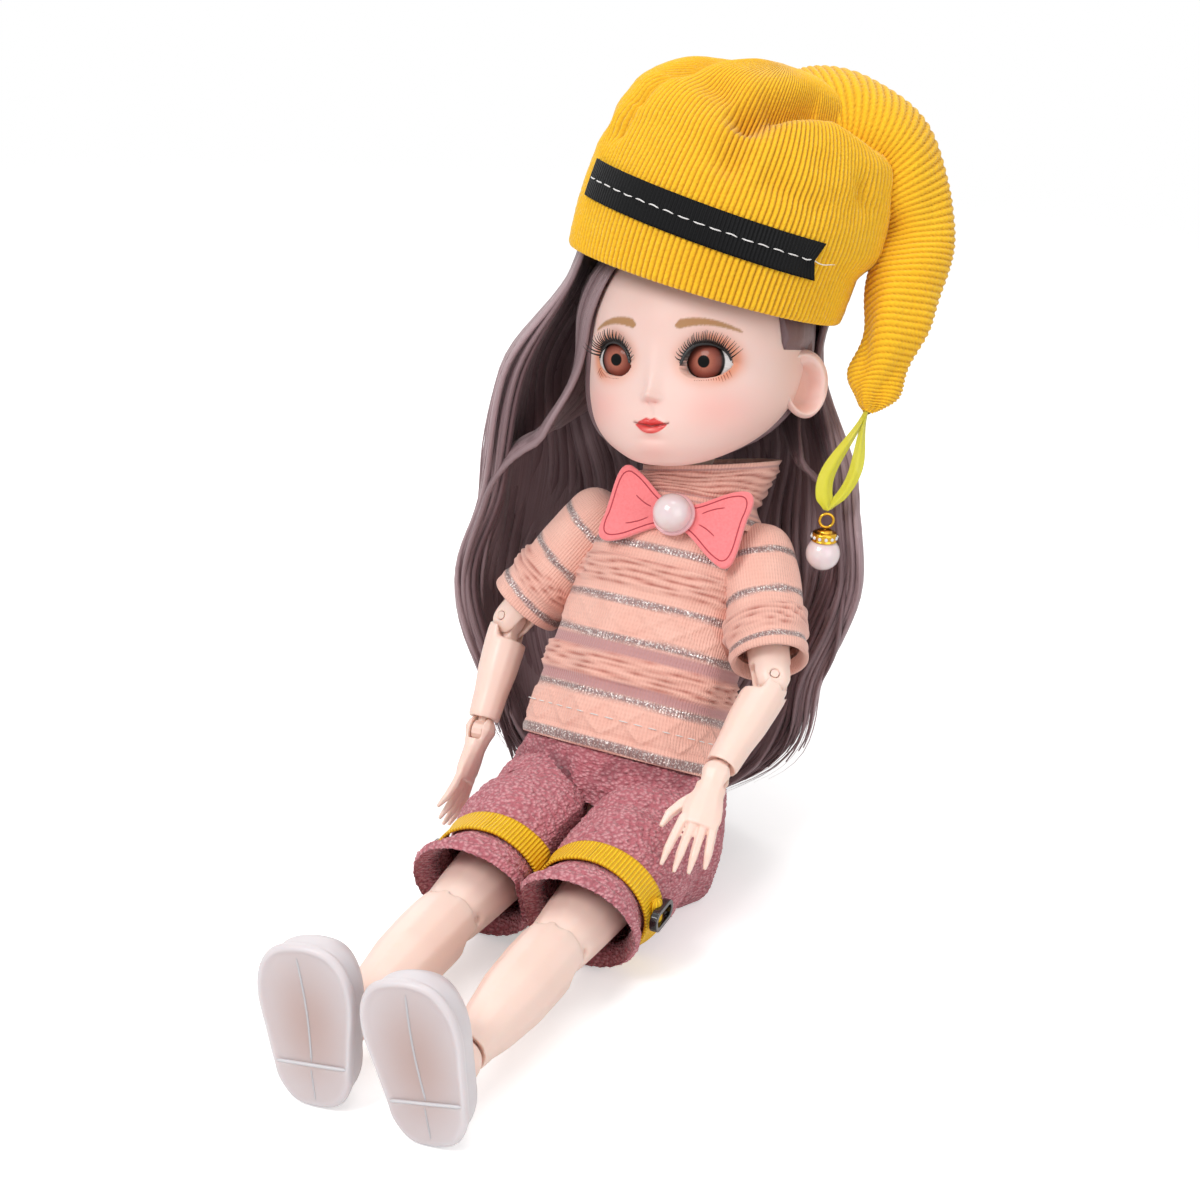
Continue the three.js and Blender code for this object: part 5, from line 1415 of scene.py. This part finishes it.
def make_sleeve(side):
    way = SIDES[side]

    def shape(u, v):
        t, half_x, half_y, z = section(SLEEVE_ROWS, v)
        turn = math.tau * (u - 0.5)
        out_x, out_y = math.sin(turn), -math.cos(turn)
        around = SLEEVE_RING * turn + 11 * way
        outside = step(2.2, 3.0, t)
        level = z + 1.0 * math.sin(turn + 0.8)
        puff, groove = puffed_ribs(level, around, SLEEVE_RIBS)
        lift = 0.9 * puff
        lift += 0.8 * ring_ruffle(turn, 1.2, z * 0.09, 3.0 + way) * step(0.2, 6, half_x)
        lift += 0.35 * bump(level, -25.6, 0.9)
        reach_x, reach_y = (half_x + lift * outside) * out_x, (half_y + lift * outside) * out_y
        return Vector((reach_x, reach_y, z)), (bands(level, SLEEVE_SILVER) * outside, 0.0, groove)

    surface(shape, (240, 110, 60, 40), f"sleeve_cloth_{side}", ARM[side], KNIT, f"upper_arm_{side}",
            (f"sleeve_{side}",), KNIT_MARKS)


def make_sweater():
    for shape, grid, node in (
        (sweater_point, (380, 212, 132, 80), "sweater"), (collar_point, (240, 84, 95, 24), "collar"),
    ):
        surface(shape, grid, f"{node}_cloth", TRUNK, KNIT, "chest", (node,), KNIT_MARKS)
    for side in SIDES:
        make_sleeve(side)
    thread = new_mesh()
    for i in range(HEM_STITCHES):
        points = []
        for k in range(5):
            u = (i + 0.1 + 0.62 * k / 4) / HEM_STITCHES
            point, _ = sweater_point(u, 0.352)
            out = Vector((-math.sin(math.tau * u), math.cos(math.tau * u), 0))
            points.append(point + out * (0.35 + 0.2 * math.sin(math.pi * k / 4)))
        tube(thread, points, tapered(0.15, 5), 5, Vector((0, 0, 1)))
    piece(thread, "sweater_stitches", TRUNK, WHITE_THREAD, "chest")


# Bow

BOW = TRUNK @ Matrix.Translation((4.2, -13.8, 76.6)) @ Matrix.Rotation(math.radians(4), 4, "Z") \
    @ Matrix.Rotation(math.radians(-1), 4, "Y") @ Matrix.Rotation(math.radians(-7), 4, "X")


def bezier(a, b, c, d, count):
    for k in range(count):
        t = k / count
        s = 1 - t
        yield a * s**3 + b * 3 * s * s * t + c * 3 * s * t * t + d * t**3


def bow_outline():
    """The bow's outline in its own plane, x across and y up, starting under the knot."""
    w, h = BOW_WIDTH / 2, BOW_HEIGHT / 2
    here = Vector((0, -h * 0.24))
    points = []
    for s in (1, -1):
        far = s * w
        low, high = -s * h, s * h
        for curve in (
            ((far * 0.3, low * 0.3), (far * 0.45, low * 0.8), (far * 0.76, low)),
            ((far * 0.97, low * 1.04), (far * 0.9, low * 0.3), (far * 0.93, high * 0.3)),
            ((far * 0.99, high * 0.8), (far * 0.93, high * 1.0), (far * 0.74, high * 0.88)),
            ((far * 0.5, high * 0.75), (far * 0.3, high * 0.3), (0, high * 0.24)),
        ):
            b, c, d = (Vector(p) for p in curve)
            points.extend(bezier(here, b, c, d, 12))
            here = d
    return points


# The lines sewn in each wing: start, bend and end, in shares of half the bow
BOW_CREASES = (((0.34, 0.16), (0.46, 0.34), (0.62, 0.42)), ((0.34, -0.1), (0.45, -0.14), (0.58, -0.3)))


def make_bow():
    outline = bow_outline()
    bm = new_mesh()
    ring = bmesh.ops.create_circle(bm, cap_ends=True, radius=1, segments=len(outline))["verts"]
    for vert, place in zip(ring, outline):
        vert.co = (place.x, 0, place.y)
    extruded = bmesh.ops.extrude_face_region(bm, geom=bm.faces[:])
    moved = [e for e in extruded["geom"] if isinstance(e, bmesh.types.BMVert)]
    bmesh.ops.translate(bm, verts=moved, vec=(0, -BOW_THICK, 0))
    rim = [e for e in bm.edges if abs(e.verts[0].co.y - e.verts[1].co.y) < 1e-6]
    bmesh.ops.bevel(bm, geom=rim, offset=0.4, segments=3, profile=0.5, affect="EDGES", material=-1)
    bmesh.ops.triangulate(bm, faces=[f for f in bm.faces if len(f.verts) > 4])
    felt_bow = piece(bm, "bow_felt", BOW, FELT, "chest", ("bow",))
    felt_bow.data.polygons.foreach_set("use_smooth", [False] * len(felt_bow.data.polygons))
    thread = new_mesh()
    half = len(outline) // 2
    for s, wing in ((1, outline[:half]), (-1, outline[half:])):
        centre = Vector((s * BOW_WIDTH * 0.28, 0))
        line = [centre + (p - centre) * 0.84 for p in wing]
        line.append(line[0])
        points = [Vector((p.x, -BOW_THICK - 0.02, p.y)) for p in line]
        tube(thread, points, [0.16] * len(points), 6, Vector((0, -1, 0)), 0.6)
        for start, bend, end in BOW_CREASES:
            a, b, c = (
                Vector((s * p[0] * BOW_WIDTH / 2, p[1] * BOW_HEIGHT / 2 * s)) for p in (start, bend, end)
            )
            mark = [a * (1 - t) ** 2 + b * 2 * t * (1 - t) + c * t * t for t in (k / 10 for k in range(11))]
            tube(thread, [Vector((p.x, -BOW_THICK - 0.02, p.y)) for p in mark],
                 tapered(0.15, 11), 6, Vector((0, -1, 0)), 0.6)
    piece(thread, "bow_stitch_lines", BOW, RED_THREAD, "chest")
    ball = new_mesh()
    bmesh.ops.create_uvsphere(ball, u_segments=72, v_segments=48, radius=BOW_PEARL_R,
                              matrix=Matrix.Translation((0, -BOW_THICK - 2.6, 0)))
    piece(ball, "bow_pearl_bead", BOW, NACRE, "chest", ("bow_pearl",))
    ring = new_mesh()
    circle = [Vector((4.7 * math.cos(a), -BOW_THICK - 0.8, 4.7 * math.sin(a)))
              for a in (math.tau * k / 48 for k in range(49))]
    tube(ring, circle, [0.75] * 49, 12, Vector((0, -1, 0)))
    piece(ring, "bow_pearl_seat", BOW, ROSE_RING, "chest")


# Shorts

STRAP_SLANT = 0.21                    # the strap sits this much higher per millimetre towards the back
LEG_RING_Y = 14.5
LEG_ROWS = (
    (-68, 14.0, 14.0), (-52, 14.6, 14.6), (-44.5, 13.6, 13.8), (-38, 13.4, 13.6), (-32.5, 14.6, 15.0),
    (-24, 15.8, 15.8), (-10, 15.4, 15.4), (0, 15.0, 15.0), (8, 12.0, 12.0),
)


def leg_surface(way, turn, z, grow):
    """A point on the shorts leg, flat where the two legs press together."""
    half_x, half_y = between(LEG_ROWS, round(z, 4))
    x = (half_x + grow) * math.sin(turn)
    y = -(half_y + grow) * math.cos(turn)
    flat = LEG_FLAT + grow
    if x * way < -flat:
        x = -way * flat
    return Vector((x, y, z))


def make_shorts_leg(side):
    way = SIDES[side]

    def shape(u, v):
        turn = math.tau * u
        y = -LEG_RING_Y * math.cos(turn)
        hem = -SHORTS_LEG_END + SHORTS_HEM_SLANT * y
        inside = step(0.1, 0.0, v)
        t = max(0.0, (v - 0.1) / 0.9)
        z = hem + (3.0 - hem) * t + 7 * inside
        folds = 0.9 * ring_ruffle(turn, 1.46, z * 0.07, 5.0 + way) * step(hem + 1, hem + 8, z)
        folds += 1.6 * ring_ruffle(turn, 0.9, z * 0.15, 9.0 + way) * step(-32, -18, z)
        fuzz = 0.42 * ring_ruffle(turn, 16, z * 1.2, 1.0) + 0.2 * ring_ruffle(turn, 38, z * 2.5, 2.0)
        roll = 1.3 * bump(z - hem, 2.2, 1.9) - 0.6 * bump(z - hem, 5.6, 0.8)
        strap = STRAP_SLANT * y - STRAP_AT
        pinch = -0.7 * bump(z, strap, 4.5)
        fuzz *= 1 - 0.8 * bump(z, strap, 4.2, 4)
        grow = folds + fuzz + (roll + pinch) * (1 - inside) - 2.2 * step(0.09, 0.0, v)
        point = leg_surface(way, turn, z, grow)
        # painted shade inside the leg opening and where the fuzz dips
        return point, (0.75 * step(0.08, 0.0, v) + 0.35 * step(0.0, -0.35, fuzz),)

    surface(shape, (220, 180, 92, 60), f"shorts_leg_cloth_{side}", LEG[side], TERRY, f"thigh_{side}",
            (f"shorts_leg_{side}",), ("deep",))


TAB_LENGTH = 8.4


def make_strap(side):
    way = SIDES[side]

    def shape(u, v):
        turn = math.tau * u
        y = -LEG_RING_Y * math.cos(turn)
        z = -STRAP_AT + STRAP_SLANT * y + STRAP_WIDTH * (v - 0.5)
        edge = 0.15 * (2 * v - 1) ** 4
        return leg_surface(way, turn, z, 1.15 - edge + 0.12 * ruffle(u * 14, v, 3.0 * way))

    def tongue(u, v):
        end = math.sqrt(max(0.0, 1 - (abs(2 * v - 1)) ** 6))
        turn = math.tau * u
        return Vector((way * (SHORTS_LEG_R - 0.1 + 1.35 * math.sin(turn) * end), TAB_LENGTH * (v - 0.5),
                       -STRAP_AT + 2.0 * math.cos(turn) * end))

    place, thigh = LEG[side], f"thigh_{side}"
    surface(shape, (220, 14, 88, STRAP_WIDTH), f"strap_ribbon_{side}", place, YELLOW_STRAP, thigh,
            (f"strap_{side}",), thick=0.7)
    buckle = rounded_copy(f"buckle_{side}", f"buckle_{side}_copy", 0.16, 4, place)
    piece(buckle, f"strap_slide_{side}", place, BLACK_PLASTIC, thigh, (f"buckle_{side}",))
    surface(tongue, (24, 24, 8, TAB_LENGTH), f"strap_tab_{side}", place, YELLOW_STRAP, thigh)


# Creases of the seat in the hip frame, seen from the front and above: from, to, depth, half width
SEAT_CREASES = (
    ((0, -21, 2), (-12, -2, 14), 3.0, 3.8), ((-12, -2, 14), (-17, 6, 15), 1.8, 3.6),
    ((0, -21, 2), (7, -2, 14), 2.6, 3.6), ((0, -23, 3), (0, -6, 14), 2.0, 3.0),
    ((-20, -12, 11), (-8, -6, 15), 1.6, 3.4), ((16, -14, 10), (8, -6, 14), 1.6, 3.4),
)


def make_seat():
    hips = Matrix.Translation(HIPS) @ Matrix.Scale(MM, 4)

    def shape(point, out):
        up = step(-6, 4, point.z)
        deep = crease_depth(point, SEAT_CREASES) * up
        fuzz = 0.42 * ruffle(*(point * 1.15)) + 0.2 * ruffle(*(point * 2.6))
        fuzz += 1.0 * ruffle(*(point * 0.12)) * up
        # painted shade in the seat's creases and where the fuzz dips
        shade = min(1.0, 0.8 * (deep / 3.8) ** 2 + 0.35 * step(0, -0.35, fuzz))
        return point + out * (fuzz - deep) * step(-17.2, -14, point.z), (shade,)

    bm = rounded_copy("shorts_seat", "seat_copy", 0.6, 9, hips, ("deep",), shape)
    piece(bm, "shorts_seat_cloth", hips, TERRY, "pelvis", ("shorts_seat",))


# Shoes

SOLE_HALF = 11.5
SOLE_MIDDLE_Y = -8.2
SOLE_HALF_LENGTH = 19.5
# Half of the sole's outline, toes to heel
SOLE_OUTLINE = (
    (0, -27.7), (6.4, -26.4), (10.2, -22), (11.5, -15), (10.4, -6), (9.4, 1), (8.6, 5.6), (5.4, 10.1),
    (0, 11.3),
)
# The same with one point more at each end, over the middle line, so that toes and heel are round
SOLE_LOOP = tuple(
    (i, x, y) for i, (x, y) in enumerate(((-6.4, -26.4), *SOLE_OUTLINE, (-5.4, 10.1)), -1)
)


def sole_edge(way, u, inset):
    """The sole's rounded outline a share u of the way round from the toes, drawn in by inset."""
    half_turn = (len(SOLE_OUTLINE) - 1) * (1 - abs(2 * u - 1))
    x, y = between(SOLE_LOOP, round(half_turn, 5))
    x *= (1 - inset / SOLE_HALF) * (1 if u < 0.5 else -1)
    y = SOLE_MIDDLE_Y + (y - SOLE_MIDDLE_Y) * (1 - inset / SOLE_HALF_LENGTH)
    return Vector((x - way * 0.8 * max(0.0, -y / 20), y, 0))


# Rows from the sole's middle over its rolled edge and up the upper to the opening: drawn in by, height
SHOE_ROWS = numbered((
    (11.5, 0.9), (6, 0.9), (2.4, 0.85), (1.0, 0.35), (0.3, 0.6), (0.0, 1.5), (0.3, 2.4), (1.0, 2.8),
    (0.9, 4.5),
    (1.1, 7.2), (2.6, 10.2), (4.3, 12.1), (5.4, 12.2), (5.6, 11.4), (3.6, 7.5), (3.4, 4.2), (8.5, 3.6),
    (11.5, 3.6),
))


def make_shoe(side):
    way = SIDES[side]
    floor = -ANKLE_TO_SOLE

    def shape(u, v):
        t, inset, height = section(SHOE_ROWS, v)
        point = sole_edge(way, u, inset)
        heel = step(0.6, 1.2, point.y) * step(3.6, 2.6, t)
        height = height * (1 - heel) + 0.1 * heel
        middle = hill(point.x, point.y, -way * 0.5, -9, 9.5, 17)
        return point + Vector((0, 0, floor + height)), (0.9 * middle * step(3.4, 2.0, t),)

    surface(shape, (200, 150, 105, 40), f"slip_on_{side}", FOOT[side], SHOE, f"foot_{side}",
            (f"shoe_{side}",), ("deep",))
    seam = new_mesh()
    down = Vector((0, 0, -1))
    share = [k / 20 for k in range(21)]
    points = [Vector((-way * 0.6 * math.sin(math.pi * t), -24.5 + 24.8 * t, floor + 0.86)) for t in share]
    tube(seam, points, tapered(0.24, 21, 0.08), 8, down, 0.5)
    points = [Vector((8.6 - 17.2 * t, 0.75, floor + 0.5)) for t in share]
    tube(seam, points, tapered(0.42, 21, 0.08), 8, down, 0.9)
    points = [Vector((-way * 0.1, 1.4 + 7.6 * k / 10, floor + 0.08)) for k in range(11)]
    tube(seam, points, tapered(0.18, 11, 0.06), 8, down, 0.4)
    piece(seam, f"sole_seam_{side}", FOOT[side], SHOE, f"foot_{side}")


# Stage

PAPER_SIDE = 2.4                      # metres, as are the two below
FLOOR_CLEAR = 0.30                    # from here out the floor fades into the white around it
FLOOR_GONE = 0.95
FLOOR_GLOW = 0.42
ROOM_LIGHT = 0.42


def paper_floor():
    """White paper that shows only the doll's shadow: it glows a little and fades out with distance."""
    made, tree, shader = material("white_paper", {
        "Base Color": linear("#F4F4F4"), "Roughness": 0.95, "Specular IOR Level": 0.0,
        "Emission Color": (1, 1, 1, 1),
    })
    seen = add(tree, "LightPath").outputs["Is Camera Ray"]
    tree.links.new(times(tree, seen, FLOOR_GLOW), shader.inputs["Emission Strength"])
    place = in_place(tree)
    away = add(tree, "VectorMath", {0: place}, operation="LENGTH").outputs["Value"]
    fade = add(tree, "MapRange", {"Value": away, "From Min": FLOOR_CLEAR, "From Max": FLOOR_GONE},
               interpolation_type="SMOOTHSTEP")
    mixer = add(tree, "MixShader", {0: fade.outputs[0], 1: shader.outputs[0],
                                    2: add(tree, "BsdfTransparent").outputs[0]})
    tree.links.new(mixer.outputs[0], tree.nodes["Material Output"].inputs["Surface"])
    return made


def make_stage():
    low, _ = cad_box
    bpy.ops.mesh.primitive_plane_add(size=PAPER_SIDE, location=(0, 0, low.z - 0.0002))
    floor = bpy.context.object
    floor.name = "floor"
    floor.data.materials.append(paper_floor())
    world = bpy.data.worlds.new("studio")
    bpy.context.scene.world = world
    world.use_nodes = True
    tree = world.node_tree
    path = add(tree, "LightPath")
    seen = math_node(tree, "MAXIMUM", path.outputs["Is Camera Ray"], path.outputs["Is Glossy Ray"])
    seen = math_node(tree, "MAXIMUM", seen, path.outputs["Is Transmission Ray"])
    strength = add(tree, "MapRange", {"Value": seen, "To Min": ROOM_LIGHT, "To Max": 1.0})
    back = tree.nodes["Background"]
    back.inputs["Color"].default_value = (1, 1, 1, 1)
    tree.links.new(strength.outputs[0], back.inputs["Strength"])
    bpy.context.scene.view_settings.view_transform = "Standard"


make_camera()
make_lights()
make_stage()
finish_body()
make_head()
make_ears()
make_eyes()
make_lashes()
make_hair()
make_scalp()
make_hat()
make_band()
make_pendant()
make_sweater()
make_bow()
make_seat()
for each in SIDES:
    make_shorts_leg(each)
    make_strap(each)
    make_shoe(each)
